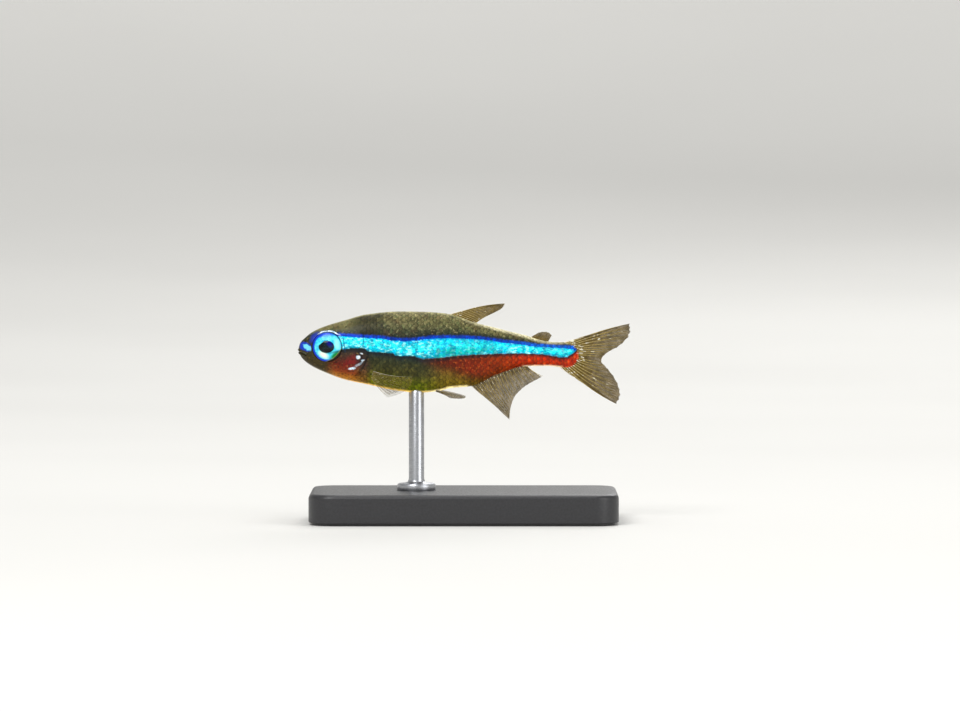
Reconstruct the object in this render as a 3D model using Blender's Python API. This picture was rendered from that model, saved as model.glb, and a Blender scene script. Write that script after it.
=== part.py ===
"""Green neon tetra (Paracheirodon simulans), life size, swimming, on a plain display stand.

Metres, +Z up. The head points to -X and the fish's left side to -Y. The origin is the middle
of the stand's underside, which is also the middle of the underside of the whole object's box.

The fish is drawn along its own axis: "along" counts from the snout tip towards the tail,
"up" counts from the axis, and "out" counts from the middle plane to either side.
"""

import math

import bmesh
import bpy
from mathutils import Matrix, Vector

MM = 0.001

# Driving dimensions
TOTAL_LENGTH = 26.0 * MM
STANDARD_LENGTH = 22.3 * MM
AXIS_HEIGHT = 13.2 * MM
LIP_REACH = 0.071 * MM
GAP = 0.3 * MM

# The body's lines. Each station: how far along it lies, the back, the belly, the half width,
# the level of the widest point, and the fullness of the section, where 2 is an ellipse.
STATIONS = {
    "snout tip": (0.00, 0.20, 0.20, 0.00, 0.20, 2.2),
    "lips": (0.12, 0.70, -0.26, 0.37, 0.20, 2.2),
    "nostril": (0.50, 1.13, -0.73, 0.66, 0.20, 2.2),
    "front of eye": (1.20, 1.66, -1.20, 0.96, 0.25, 2.3),
    "middle of eye": (2.30, 2.12, -1.70, 1.22, 0.30, 2.3),
    "cheek": (3.60, 2.50, -2.17, 1.38, 0.20, 2.2),
    "gill opening": (5.40, 2.98, -2.56, 1.50, 0.10, 2.1),
    "shoulder": (8.00, 3.20, -3.08, 1.52, 0.10, 2.0),
    "deepest": (9.60, 3.18, -3.20, 1.48, 0.10, 2.0),
    "pelvic fins": (11.00, 3.10, -3.06, 1.38, 0.10, 2.0),
    "front of dorsal fin": (11.90, 2.98, -2.84, 1.28, 0.10, 2.0),
    "vent": (13.50, 2.42, -2.70, 1.08, 0.10, 2.0),
    "middle of anal fin": (15.60, 1.88, -1.76, 0.82, 0.10, 2.0),
    "end of anal fin": (17.70, 1.35, -1.15, 0.62, 0.05, 2.1),
    "tail stalk": (19.40, 0.88, -1.12, 0.50, -0.10, 2.2),
    "tail base": (21.00, 0.80, -1.25, 0.40, -0.25, 2.3),
    "body end": (22.80, 0.84, -1.38, 0.27, -0.30, 2.5),
}
RINGS = 54
RING_POINTS = 36

# Head
EYE_ALONG, EYE_UP = 2.28 * MM, 0.43 * MM
EYE_RADIUS = 1.12 * MM
EYE_INNER, EYE_RIM, EYE_FRONT = 0.60 * MM, 1.10 * MM, 1.42 * MM
MOUTH_TIP_UP, MOUTH_LENGTH, MOUTH_DROP = 0.05 * MM, 0.72 * MM, 0.40 * MM
MOUTH_TURN = math.radians(92)
MOUTH_SLIT, MOUTH_DEPTH = 0.05 * MM, 0.16 * MM
LIP_RADIUS = 0.13 * MM
NOSTRIL_ALONG, NOSTRIL_UP = 0.66 * MM, 0.92 * MM
NOSTRIL_RADIUS, NOSTRIL_STEP = 0.085 * MM, 0.24 * MM
CHEEK_GROOVE_WIDTH, CHEEK_GROOVE_DEPTH = 0.09 * MM, 0.08 * MM
GILL_FLARE, GILL_FLARE_START = 0.11 * MM, 3.7 * MM

# Where the head ends: the nape above, the gill opening at the sides and the throat below
GILL_LINE = {3.6: 4.15, 1.7: 4.85, 0.2: 5.42, -1.1: 5.05, -2.1: 4.10, -3.2: 3.05}
CHEEK_LINE = {1.0: 3.95, 0.1: 4.22, -0.8: 3.92, -1.35: 3.25}
STALK_CUT = 17.95 * MM
TAIL_ROOT_ALONG, TAIL_ROOT_UP = 20.50 * MM, -0.28 * MM
TAIL_ROOT_REACH = STANDARD_LENGTH - LIP_REACH - TAIL_ROOT_ALONG
TAIL_ROOT_RISE = 1.15 * MM

# Fins
FIN_THICKNESS, FIN_EDGE, FIN_THINS_FROM = 0.50 * MM, 0.22 * MM, 0.6
RAY_HEIGHT, RAY_FOOT, WEB_NOTCH = 0.085 * MM, 0.27, 0.035
CAUDAL_OUTER, CAUDAL_INNER = math.radians(84), math.radians(6.5)

# Display stand
BASE_LENGTH, BASE_WIDTH, BASE_THICKNESS = 24.0 * MM, 14.0 * MM, 2.4 * MM
BASE_CORNER, BASE_BEVEL = 2.4 * MM, 0.35 * MM
ROD_ALONG = 9.3 * MM
ROD_RADIUS, ROD_FOOT_RADIUS, ROD_FOOT_HEIGHT = 0.6 * MM, 1.5 * MM, 0.5 * MM

# Colours (linear), roughness and metallic value
FINISHES = {
    "skin": ((0.10, 0.13, 0.09), 0.35, 0.1),
    "belly": ((0.12, 0.13, 0.05), 0.35, 0.1),
    "tail_red": ((0.45, 0.05, 0.02), 0.35, 0.1),
    "eye": ((0.05, 0.55, 0.70), 0.15, 0.3),
    "fin": ((0.30, 0.27, 0.16), 0.45, 0.0),
    "base": ((0.03, 0.03, 0.032), 0.40, 0.0),
    "rod": ((0.55, 0.56, 0.58), 0.30, 1.0),
}


def clear_scene():
    for thing in list(bpy.data.objects):
        bpy.data.objects.remove(thing, do_unlink=True)


def finish(name):
    """The named material, made the first time that it is asked for."""
    found = bpy.data.materials.get(name)
    if found:
        return found
    colour, roughness, metallic = FINISHES[name]
    made = bpy.data.materials.new(name)
    made.use_nodes = True
    shader = made.node_tree.nodes["Principled BSDF"]
    shader.inputs["Base Color"].default_value = (*colour, 1.0)
    shader.inputs["Roughness"].default_value = roughness
    shader.inputs["Metallic"].default_value = metallic
    made.diffuse_color = (*colour, 1.0)
    return made


def smooth_line(points):
    """A function through the (x, y) points that keeps level with them and never overshoots."""
    points = sorted(points)
    xs, ys = zip(*points)
    steps = [(ys[i + 1] - ys[i]) / (xs[i + 1] - xs[i]) for i in range(len(xs) - 1)]
    slopes = [steps[0]]
    for before, after in zip(steps, steps[1:]):
        slopes.append(2 * before * after / (before + after) if before * after > 0 else 0.0)
    slopes.append(steps[-1])

    def value(x):
        x = min(max(x, xs[0]), xs[-1])
        i = max(k for k in range(len(xs) - 1) if xs[k] <= x)
        width = xs[i + 1] - xs[i]
        t = (x - xs[i]) / width
        return (
            ys[i] * (1 + 2 * t) * (1 - t) ** 2
            + ys[i + 1] * t * t * (3 - 2 * t)
            + width * (slopes[i] * t * (1 - t) ** 2 - slopes[i + 1] * t * t * (1 - t))
        )

    return value


def body_line(column):
    """One column of STATIONS as a function of along. Its square root rounds the snout off."""
    line = smooth_line([(math.sqrt(row[0]), row[column] * MM) for row in STATIONS.values()])
    return lambda along: line(math.sqrt(max(along, 0.0) / MM))


def side_line(points):
    """A line drawn on the fish's side, as along at each height, both in millimetres there."""
    line = smooth_line(list(points.items()))
    return lambda up: line(up / MM) * MM


back, belly, half_width, widest_level, fullness_mm = (body_line(i) for i in range(1, 6))
gill_line = side_line(GILL_LINE)
cheek_line = side_line(CHEEK_LINE)


def section_point(along, angle):
    """(out, up) on the body's section: angle 0 is the back, pi the belly."""
    power = 2.0 / (fullness_mm(along) / MM)
    level = widest_level(along)
    reach = back(along) - level if math.cos(angle) > 0 else level - belly(along)
    out = half_width(along) * math.copysign(abs(math.sin(angle)) ** power, math.sin(angle))
    up = level + reach * math.copysign(abs(math.cos(angle)) ** power, math.cos(angle))
    return out, up


def half_breadth(along, up):
    """How far out the body's side lies at this place."""
    level = widest_level(along)
    reach = back(along) - level if up > level else level - belly(along)
    share = min(abs(up - level) / reach, 1.0)
    fullness = fullness_mm(along) / MM
    return half_width(along) * (1 - share**fullness) ** (1 / fullness)


def underside_at(along, out):
    """The level of the body's underside at this distance from the middle plane."""
    level, fullness = widest_level(along), fullness_mm(along) / MM
    share = min(out / half_width(along), 1.0)
    return level - (level - belly(along)) * (1 - share**fullness) ** (1 / fullness)


def place(along, up, out=0.0):
    """A point of the fish in the object's frame."""
    return Vector((LIP_REACH + along - TOTAL_LENGTH / 2, out, AXIS_HEIGHT + up))


def new_object(name, points, faces, material, smooth=True):
    mesh = bpy.data.meshes.new(name)
    mesh.from_pydata(points, [], faces)
    shape = bmesh.new()
    shape.from_mesh(mesh)
    bmesh.ops.recalc_face_normals(shape, faces=shape.faces)
    shape.to_mesh(mesh)
    shape.free()
    mesh.materials.append(finish(material))
    if smooth:
        mesh.shade_smooth()
        mesh.set_sharp_from_angle(angle=math.radians(40))
    made = bpy.data.objects.new(name, mesh)
    bpy.context.scene.collection.objects.link(made)
    return made


def tube_faces(rings, points):
    """Faces of a tube of that many rings, closed by a fan to the point before it and after it."""
    faces = []
    for ring in range(rings - 1):
        for k in range(points):
            a, b = 1 + ring * points + k, 1 + ring * points + (k + 1) % points
            faces.append((a, b, b + points, a + points))
    end = 1 + rings * points
    for k in range(points):
        faces.append((0, 1 + (k + 1) % points, 1 + k))
        faces.append((end, end - points + k, end - points + (k + 1) % points))
    return faces


def body_mesh(name, material, flare=0.0):
    """The whole body from snout to tail base. With a flare, the gill covers stand out a little."""
    points = [place(0.0, STATIONS["snout tip"][1] * MM)]
    body_end = STATIONS["body end"][0] * MM
    for ring in range(1, RINGS + 1):
        along = body_end * (ring / RINGS) ** 1.45
        rise = min(max((along - GILL_FLARE_START) / (gill_line(0) - GILL_FLARE_START), 0.0), 1.0)
        for k in range(RING_POINTS):
            angle = 2 * math.pi * k / RING_POINTS
            out, up = section_point(along, angle)
            out += flare * rise**2 * math.sin(angle) ** 3
            points.append(place(along, up, out))
    points.append(place(body_end, widest_level(body_end)))
    return new_object(name, points, tube_faces(RINGS, RING_POINTS), material)


def prism(name, outline, low, high):
    """A hidden cutter: an outline of (along, up) points that runs from low to high across."""
    count = len(outline)
    points = [place(a, u, low) for a, u in outline] + [place(a, u, high) for a, u in outline]
    faces = [tuple(range(count)), tuple(range(2 * count - 1, count - 1, -1))]
    faces += [(k, (k + 1) % count, count + (k + 1) % count, count + k) for k in range(count)]
    made = new_object(name, points, faces, "skin", smooth=False)
    made.hide_render = True
    made.display_type = "WIRE"
    return made


def offset_line(line, top, bottom, shift, steps=18):
    """Points of a side line from top to bottom, moved towards the tail by shift."""
    moved = []
    for k in range(steps + 1):
        up = top + (bottom - top) * k / steps
        slope = (line(up + 0.05 * MM) - line(up - 0.05 * MM)) / (0.1 * MM)
        length = math.hypot(1.0, slope)
        moved.append((line(up) + shift / length, up - shift * slope / length))
    return moved


def turned(name, profile, segments, material, matrix):
    """A turned piece: (radius, height) points from its lowest to its highest, round local Z."""
    points = [Vector((0, 0, profile[0][1]))]
    for radius, height in profile:
        for k in range(segments):
            angle = 2 * math.pi * k / segments
            points.append(Vector((radius * math.cos(angle), radius * math.sin(angle), height)))
    points.append(Vector((0, 0, profile[-1][1])))
    points = [matrix @ p for p in points]
    return new_object(name, points, tube_faces(len(profile), segments), material)


def tube_along(name, path, radii, sides, material, side_axis=(0, 0, 1)):
    """A round tube with closed ends along a path of points, with its radius at each point."""
    points = [path[0]]
    for i, middle in enumerate(path):
        ahead = (path[min(i + 1, len(path) - 1)] - path[max(i - 1, 0)]).normalized()
        across = ahead.cross(Vector(side_axis)).normalized()
        over = across.cross(ahead)
        for k in range(sides):
            angle = 2 * math.pi * k / sides
            spoke = across * math.cos(angle) + over * math.sin(angle)
            points.append(middle + radii[i] * spoke)
    points.append(path[-1])
    return new_object(name, points, tube_faces(len(path), sides), material)


def apply_boolean(target, operation, tools):
    """Joins the tools to the target, or cuts them from it, and removes them."""
    group = bpy.data.collections.new(target.name + "_tools")
    bpy.context.scene.collection.children.link(group)
    for tool in tools:
        group.objects.link(tool)
    step = target.modifiers.new(operation, "BOOLEAN")
    step.operation = operation
    step.solver = "EXACT"
    step.operand_type = "COLLECTION"
    step.collection = group
    graph = bpy.context.evaluated_depsgraph_get()
    result = bpy.data.meshes.new_from_object(target.evaluated_get(graph))
    target.modifiers.clear()
    target.data = result
    for tool in tools:
        bpy.data.objects.remove(tool, do_unlink=True)
    bpy.data.collections.remove(group)


def keep_inside(target, region):
    """Keeps what of the target lies inside the region."""
    step = target.modifiers.new("region", "BOOLEAN")
    step.operation = "INTERSECT"
    step.solver = "EXACT"
    step.object = region
    graph = bpy.context.evaluated_depsgraph_get()
    result = bpy.data.meshes.new_from_object(target.evaluated_get(graph))
    target.modifiers.clear()
    target.data = result
    bpy.data.objects.remove(region, do_unlink=True)


def keep_largest(target):
    """Drops every loose scrap, and the wall of any sealed hollow, but the largest surface."""
    shape = bmesh.new()
    shape.from_mesh(target.data)
    left = set(shape.faces)
    surfaces = []
    while left:
        edge, found = [left.pop()], set()
        while edge:
            face = edge.pop()
            found.add(face)
            near = {other for side in face.edges for other in side.link_faces} & left
            left -= near
            edge.extend(near)
        surfaces.append(found)
    surfaces.sort(key=lambda faces: sum(face.calc_area() for face in faces))
    scraps = [face for faces in surfaces[:-1] for face in faces]
    bmesh.ops.delete(shape, geom=scraps, context="FACES")
    shape.to_mesh(target.data)
    shape.free()
    target.data.shade_smooth()
    target.data.set_sharp_from_angle(angle=math.radians(40))


def eye_profile(clearance=0.0):
    """The eye from its flat back to its domed front, or the socket that clears it all round."""
    radius, inner = EYE_RADIUS + clearance, EYE_INNER - clearance
    if clearance:
        return [(radius, inner), (radius, EYE_FRONT + clearance)]
    dome = [math.radians(step) for step in range(0, 80, 13)]
    bulge = EYE_FRONT - EYE_RIM
    return [(0.93 * radius, inner), (radius, inner + 0.08 * MM)] + [
        (radius * math.cos(angle), EYE_RIM + bulge * math.sin(angle)) for angle in dome
    ]


def eye_matrix(side):
    """Local Z points out of the head on that side, -1 for the left and 1 for the right."""
    return Matrix.Translation(place(EYE_ALONG, EYE_UP)) @ Matrix.Rotation(-side * math.pi / 2, 4, "X")


def eye(name, side):
    return turned(name, eye_profile(), 24, "eye", eye_matrix(side))


def is_inside(along, up, out):
    return belly(along) < up < back(along) and abs(out) < half_breadth(along, up)


def mouth_path(rise=0.0, sink=0.0, steps=8):
    """Points of the mouth's line from its right corner round the snout to its left corner."""
    path = []
    for k in range(-steps, steps + 1):
        turn = MOUTH_TURN * k / steps
        up = MOUTH_TIP_UP - MOUTH_DROP * abs(k / steps) ** 1.5 + rise
        near, far = 0.0, 2 * MM
        for _ in range(30):
            middle = (near + far) / 2
            ahead, out = middle * math.cos(turn), -middle * math.sin(turn)
            if is_inside(MOUTH_LENGTH - ahead, up, out):
                near = middle
            else:
                far = middle
        reach = near - sink
        path.append(place(MOUTH_LENGTH - reach * math.cos(turn), up, -reach * math.sin(turn)))
    return path


def lips():
    """An upper and a lower lip, half sunk in the snout, which leave the mouth's line between them."""
    made = []
    for name, way in (("upper_lip", 1), ("lower_lip", -1)):
        path = mouth_path(rise=way * LIP_RADIUS * 0.95, sink=LIP_RADIUS * 0.45)
        last = len(path) - 1
        radii = [LIP_RADIUS * (1 - 0.5 * (2 * i / last - 1) ** 2) for i in range(last + 1)]
        made.append(tube_along(name, path, radii, 8, "skin"))
    return made


def band_along(name, path, inner_path, half_height):
    """A flat band of even height between an outer and an inner path, used as a cutter."""
    rise = Vector((0, 0, half_height))
    points = []
    for outer, inner in zip(path, inner_path):
        points += [outer + rise, inner + rise, inner - rise, outer - rise]
    faces = [(3, 2, 1, 0)]
    for i in range(len(path) - 1):
        for k in range(4):
            a, b = 4 * i + k, 4 * i + (k + 1) % 4
            faces.append((a, b, b + 4, a + 4))
    last = 4 * (len(path) - 1)
    faces.append((last, last + 1, last + 2, last + 3))
    return new_object(name, points, faces, "skin", smooth=False)


def mouth_cutter():
    outer = mouth_path(sink=-2 * LIP_RADIUS)
    inner = mouth_path(sink=MOUTH_DEPTH)
    return band_along("mouth", outer, inner, MOUTH_SLIT)


def nostril_cutters():
    """Two small pits, one behind the other, on each side of the snout."""
    pits = []
    for side in (-1, 1):
        for step in (-0.5, 0.5):
            along = NOSTRIL_ALONG + step * NOSTRIL_STEP
            up = NOSTRIL_UP + step * NOSTRIL_STEP * 0.6
            out = half_breadth(along, up)
            facing = Vector((-0.35, side, 0.55)).to_track_quat("Z", "Y").to_matrix().to_4x4()
            matrix = Matrix.Translation(place(along, up, side * out)) @ facing
            profile = [(NOSTRIL_RADIUS, -0.09 * MM), (NOSTRIL_RADIUS * 1.3, 0.2 * MM)]
            pits.append(turned("nostril", profile, 10, "skin", matrix))
    return pits


def cheek_groove(side, steps=12):
    """The shallow groove in front of the gill cover, as a tube that lies half in the skin."""
    top, bottom = max(CHEEK_LINE) * MM, min(CHEEK_LINE) * MM
    path = []
    for k in range(steps + 1):
        up = top + (bottom - top) * k / steps
        along = cheek_line(up)
        out = half_breadth(along, up) + CHEEK_GROOVE_WIDTH - CHEEK_GROOVE_DEPTH
        path.append(place(along, up, side * out))
    radii = [CHEEK_GROOVE_WIDTH] * len(path)
    return tube_along("cheek_groove", path, radii, 6, "skin", side_axis=(0, 1, 0))


def head():
    made = body_mesh("head", "skin", flare=GILL_FLARE)
    edge = offset_line(gill_line, 3.6 * MM, -3.2 * MM, -GAP / 2)
    outline = [(-1 * MM, 4 * MM)] + edge + [(-1 * MM, -4 * MM)]
    keep_inside(made, prism("head_region", outline, -3 * MM, 3 * MM))
    apply_boolean(made, "UNION", lips())
    sockets = [turned("socket", eye_profile(GAP), 24, "skin", eye_matrix(s)) for s in (-1, 1)]
    grooves = [cheek_groove(side) for side in (-1, 1)]
    apply_boolean(made, "DIFFERENCE", [*sockets, *grooves, mouth_cutter(), *nostril_cutters()])
    keep_largest(made)
    return made


def trunk():
    made = body_mesh("trunk", "belly")
    front = offset_line(gill_line, 3.6 * MM, -3.2 * MM, GAP / 2)
    rear = STALK_CUT - GAP / 2
    outline = front + [(rear, -4 * MM), (rear, 4 * MM)]
    keep_inside(made, prism("trunk_region", outline, -3 * MM, 3 * MM))
    keep_largest(made)
    return made


def tail_root(angle, clearance=0.0):
    """The rounded line where the tail stalk ends, or where the tail fin begins a gap beyond it."""
    along = TAIL_ROOT_ALONG + (TAIL_ROOT_REACH + clearance) * math.cos(angle)
    return along, TAIL_ROOT_UP + (TAIL_ROOT_RISE + clearance) * math.sin(angle)


def tail_stalk():
    made = body_mesh("tail_stalk", "tail_red")
    front = STALK_CUT + GAP / 2
    outline = [tail_root(math.radians(90 - 9 * k)) for k in range(21)]
    outline += [(TAIL_ROOT_ALONG, -4 * MM), (front, -4 * MM)]
    outline += [(front, 4 * MM), (TAIL_ROOT_ALONG, 4 * MM)]
    keep_inside(made, prism("stalk_region", outline, -3 * MM, 3 * MM))
    keep_largest(made)
    return made


class Fin:
    """A fin drawn in its own plane by the curves of its roots and tips, with ray ridges."""

    def __init__(self, root, tip, rays, short=(), bow=0.0, rows=6, ridge=RAY_HEIGHT):
        self.bow, self.rows, self.ridge = bow, rows, ridge
        self.rays = []
        for i in range(rays):
            start = Vector(root(i / (rays - 1)))
            end = Vector(tip(max(i - len(short), 0) / (rays - 1 - len(short))))
            if i < len(short):
                end = start + (end - start) * short[i]
            self.rays.append((start, end))

    def on_ray(self, i, share):
        """A point that share of the way from a ray's root to its tip."""
        start, end = self.rays[i]
        run = end - start
        sideways = Vector((run.y, -run.x)) * self.bow
        return start + run * share + sideways * 4 * share * (1 - share)

    def columns(self):
        """(points from root to tip, whether it is a ray's crest) for each column of the fin."""
        found = []
        last = len(self.rays) - 1
        for i in range(last + 1):
            for towards in (-1, 0, 1):
                if not 0 <= i + towards <= last:
                    continue
                line = []
                for row in range(self.rows + 1):
                    share = row / self.rows
                    crest = self.on_ray(i, share)
                    if towards:
                        share *= 1 - WEB_NOTCH
                        foot, beside = self.on_ray(i, share), self.on_ray(i + towards, share)
                        crest = foot.lerp(beside, RAY_FOOT)
                    line.append(crest)
                found.append((line, towards == 0))
        return found

    def half_thickness(self, share, is_crest):
        thins = max(share - FIN_THINS_FROM, 0.0) / (1 - FIN_THINS_FROM)
        thickness = FIN_THICKNESS + (FIN_EDGE - FIN_THICKNESS) * thins
        return thickness / 2 + (self.ridge * (1 - 0.6 * share) if is_crest else 0.0)

    def build(self, name, to_world):
        """to_world takes (a, b, t): a point of the fin's plane and its distance off the plane."""
        columns = self.columns()
        rows = self.rows + 1
        points, faces = [], []
        for face in (-1, 1):
            for line, is_crest in columns:
                for row, point in enumerate(line):
                    half = self.half_thickness(row / self.rows, is_crest)
                    points.append(to_world(point.x, point.y, face * half))
        far = len(columns) * rows
        for c in range(len(columns) - 1):
            for row in range(self.rows):
                a, b = c * rows + row, (c + 1) * rows + row
                for one in ((a, b, b + 1), (a, b + 1, a + 1)):
                    faces.append(one)
                    faces.append(tuple(far + k for k in reversed(one)))
        rim = [c * rows for c in range(len(columns))]
        rim += [(len(columns) - 1) * rows + row for row in range(1, rows)]
        rim += [c * rows + self.rows for c in reversed(range(len(columns) - 1))]
        rim += [row for row in reversed(range(1, self.rows))]
        for a, b in zip(rim, rim[1:] + rim[:1]):
            faces.append((a, far + a, far + b))
            faces.append((a, far + b, b))
        return new_object(name, points, faces, "fin")


def curve_through(*points):
    """A function of 0 to 1 along a smooth curve through (along, up) points in millimetres."""
    last = len(points) - 1
    along = smooth_line([(i / last, p[0] * MM) for i, p in enumerate(points)])
    up = smooth_line([(i / last, p[1] * MM) for i, p in enumerate(points)])
    return lambda share: (along(share), up(share))


def on_middle(along, up, out):
    """Fins of the middle plane."""
    return place(along, up, out)


def dorsal_fin():
    front, rear = 11.65 * MM, 13.75 * MM

    def root(share):
        along = front + (rear - front) * share
        return along, back(along) + GAP

    tip = curve_through((16.15, 3.79), (15.95, 3.45), (15.35, 3.10), (14.75, 2.82))
    fin = Fin(root, tip, rays=11, short=(0.55,), bow=-0.045)
    return fin.build("dorsal_fin", on_middle)


def adipose_fin():
    front, rear = 18.25 * MM, 19.05 * MM

    def root(share):
        along = front + (rear - front) * share
        return along, back(along) + GAP

    tip = curve_through((18.65, 1.48), (19.10, 1.66), (19.50, 1.60), (19.60, 1.32))
    fin = Fin(root, tip, rays=5, bow=-0.03, rows=4, ridge=0.0)
    return fin.build("adipose_fin", on_middle)


def anal_fin():
    front, rear = 13.45 * MM, 17.70 * MM

    def root(share):
        along = front + (rear - front) * share
        return along, belly(along) - GAP

    tip = curve_through(
        (16.50, -5.27), (16.55, -4.60), (16.85, -3.60), (17.70, -2.70), (19.00, -1.95)
    )
    fin = Fin(root, tip, rays=18, short=(0.35, 0.72), bow=0.03)
    return fin.build("anal_fin", on_middle)


def caudal_lobe(name, side, tips, rays):
    """One lobe of the tail fin: side is 1 for the upper lobe and -1 for the lower one."""

    def root(share):
        angle = CAUDAL_OUTER + (CAUDAL_INNER - CAUDAL_OUTER) * share
        return tail_root(side * angle, GAP)

    bow = -0.025 if side > 0 else 0.045
    fin = Fin(root, curve_through(*tips), rays, short=(0.33, 0.66), bow=bow)
    return fin.build(name, on_middle)


def caudal_fin():
    end = (TOTAL_LENGTH - LIP_REACH) / MM
    upper = ((end - 0.05, 2.22), (end, 1.50), (25.10, 0.48), (24.20, 0.00), (23.72, -0.40))
    lower = ((24.85, -4.05), (25.15, -3.35), (24.95, -2.45), (24.20, -1.35), (23.62, -0.80))
    caudal_lobe("caudal_fin_upper", 1, upper, rays=12)
    caudal_lobe("caudal_fin_lower", -1, lower, rays=11)


def paired_fin(name, side, start, lie, spread, length, width, rays, bow):
    """A fin on one side. Lie is the way its leading ray points on the left side, as (back, out,
    up), and spread is the way that the other rays follow it."""
    along, up, out = start
    run = Vector(lie).normalized()
    across = Vector(spread)
    across = (across - run * across.dot(run)).normalized()
    normal = run.cross(across)

    def to_world(a, b, t):
        offset = run * a + across * b + normal * t
        return place(along + offset.x, up + offset.z, side * (out + offset.y))

    root_width = 0.30 * width
    tips = (
        (length, 0.0),
        (0.98 * length, 0.35 * width),
        (0.80 * length, 0.75 * width),
        (0.52 * length, width),
    )
    tip = curve_through(*[(a / MM, b / MM) for a, b in tips])

    def root(share):
        return 0.0, root_width * share

    fin = Fin(root, tip, rays, bow=bow, rows=5, ridge=0.8 * RAY_HEIGHT)
    return fin.build(name, to_world)


def pectoral_fins():
    """They leave the body behind the gill cover, low down, and stand out to the sides."""
    along, up = 6.10 * MM, -1.45 * MM
    out = half_breadth(along, up) + GAP + 0.28 * MM
    for name, side in (("pectoral_fin_left", -1), ("pectoral_fin_right", 1)):
        paired_fin(
            name,
            side,
            start=(along, up, out),
            lie=(1.0, 0.52, -0.12),
            spread=(-0.10, 0.25, -1.0),
            length=3.6 * MM,
            width=1.9 * MM,
            rays=10,
            bow=-0.04,
        )


def pelvic_fins():
    """They lie back along the belly."""
    along, out = 10.85 * MM, 0.74 * MM
    up = underside_at(along, out) - GAP - 0.36 * MM
    for name, side in (("pelvic_fin_left", -1), ("pelvic_fin_right", 1)):
        paired_fin(
            name,
            side,
            start=(along, up, out),
            lie=(1.0, 0.10, -0.01),
            spread=(0.10, -1.0, -0.62),
            length=2.35 * MM,
            width=0.66 * MM,
            rays=7,
            bow=0.03,
        )


def stand_base():
    shape = bmesh.new()
    bmesh.ops.create_cube(shape, size=1.0)
    size = Vector((BASE_LENGTH, BASE_WIDTH, BASE_THICKNESS))
    bmesh.ops.scale(shape, vec=size, verts=shape.verts)
    bmesh.ops.translate(shape, vec=(0, 0, BASE_THICKNESS / 2), verts=shape.verts)
    upright = [e for e in shape.edges if abs(e.verts[0].co.z - e.verts[1].co.z) > MM]
    bmesh.ops.bevel(
        shape, geom=upright, offset=BASE_CORNER, segments=6, profile=0.5, affect="EDGES"
    )
    top = [e for e in shape.edges if all(v.co.z > BASE_THICKNESS - 0.01 * MM for v in e.verts)]
    bmesh.ops.bevel(shape, geom=top, offset=BASE_BEVEL, segments=3, profile=0.5, affect="EDGES")
    mesh = bpy.data.meshes.new("stand_base")
    shape.to_mesh(mesh)
    shape.free()
    mesh.materials.append(finish("base"))
    mesh.shade_smooth()
    mesh.set_sharp_from_angle(angle=math.radians(40))
    made = bpy.data.objects.new("stand_base", mesh)
    bpy.context.scene.collection.objects.link(made)
    return made


def stand_rod():
    """One rod with a small foot, from the base up to the deepest part of the belly."""
    low = BASE_THICKNESS + GAP
    high = AXIS_HEIGHT + belly(ROD_ALONG) - GAP
    profile = [
        (ROD_FOOT_RADIUS, low),
        (ROD_FOOT_RADIUS, low + ROD_FOOT_HEIGHT * 0.6),
        (ROD_FOOT_RADIUS * 0.8, low + ROD_FOOT_HEIGHT),
        (ROD_RADIUS, low + ROD_FOOT_HEIGHT * 1.3),
        (ROD_RADIUS, high - 0.15 * MM),
        (ROD_RADIUS * 0.8, high),
    ]
    matrix = Matrix.Translation((ROD_ALONG - TOTAL_LENGTH / 2, 0, 0))
    return turned("stand_rod", profile, 24, "rod", matrix)


def main():
    clear_scene()
    head()
    trunk()
    tail_stalk()
    eye("eye_left", -1)
    eye("eye_right", 1)
    dorsal_fin()
    adipose_fin()
    anal_fin()
    caudal_fin()
    pectoral_fins()
    pelvic_fins()
    stand_base()
    stand_rod()


main()
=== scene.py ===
"""The looks of a life-size green neon tetra on its display stand: skin, scales, eyes, fins, stand
and a small studio. The fish is drawn in millimetres along its own axis: "along" counts from the
snout tip towards the tail, "up" from the axis and "out" from the middle plane, and fish_to_world
turns them into metres. The stand is drawn in millimetres of the frame, the studio in metres.
"""

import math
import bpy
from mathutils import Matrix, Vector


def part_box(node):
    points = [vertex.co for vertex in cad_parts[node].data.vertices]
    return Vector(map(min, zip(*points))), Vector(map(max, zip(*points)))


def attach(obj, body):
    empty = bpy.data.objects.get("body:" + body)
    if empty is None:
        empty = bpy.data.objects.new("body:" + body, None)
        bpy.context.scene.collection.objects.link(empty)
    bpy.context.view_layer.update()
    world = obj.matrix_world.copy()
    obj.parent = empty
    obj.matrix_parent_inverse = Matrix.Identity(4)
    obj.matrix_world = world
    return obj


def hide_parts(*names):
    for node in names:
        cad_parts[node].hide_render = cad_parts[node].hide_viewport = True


bl_info = {
    "name": "Green neon tetra",
    "version": (1, 0, 0),
    "blender": (4, 5, 0),
    "location": "View3D > Sidebar > Tetra",
    "description": "Dresses the fish and its stand with skin, scales, eyes, fins and a studio",
    "category": "Add Mesh",
}

import bmesh
import bpy
import numpy as np
from mathutils import Vector

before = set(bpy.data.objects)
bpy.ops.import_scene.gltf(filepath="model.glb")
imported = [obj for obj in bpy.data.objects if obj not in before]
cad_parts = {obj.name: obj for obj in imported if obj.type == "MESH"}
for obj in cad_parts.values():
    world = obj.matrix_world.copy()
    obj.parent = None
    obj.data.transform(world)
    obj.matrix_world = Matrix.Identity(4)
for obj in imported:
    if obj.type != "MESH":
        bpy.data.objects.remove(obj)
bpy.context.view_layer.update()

MM = 0.001
BODY = "root"
BLACK = (0.0, 0.0, 0.0)
SIDES = (("left", -1), ("right", 1))

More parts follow.
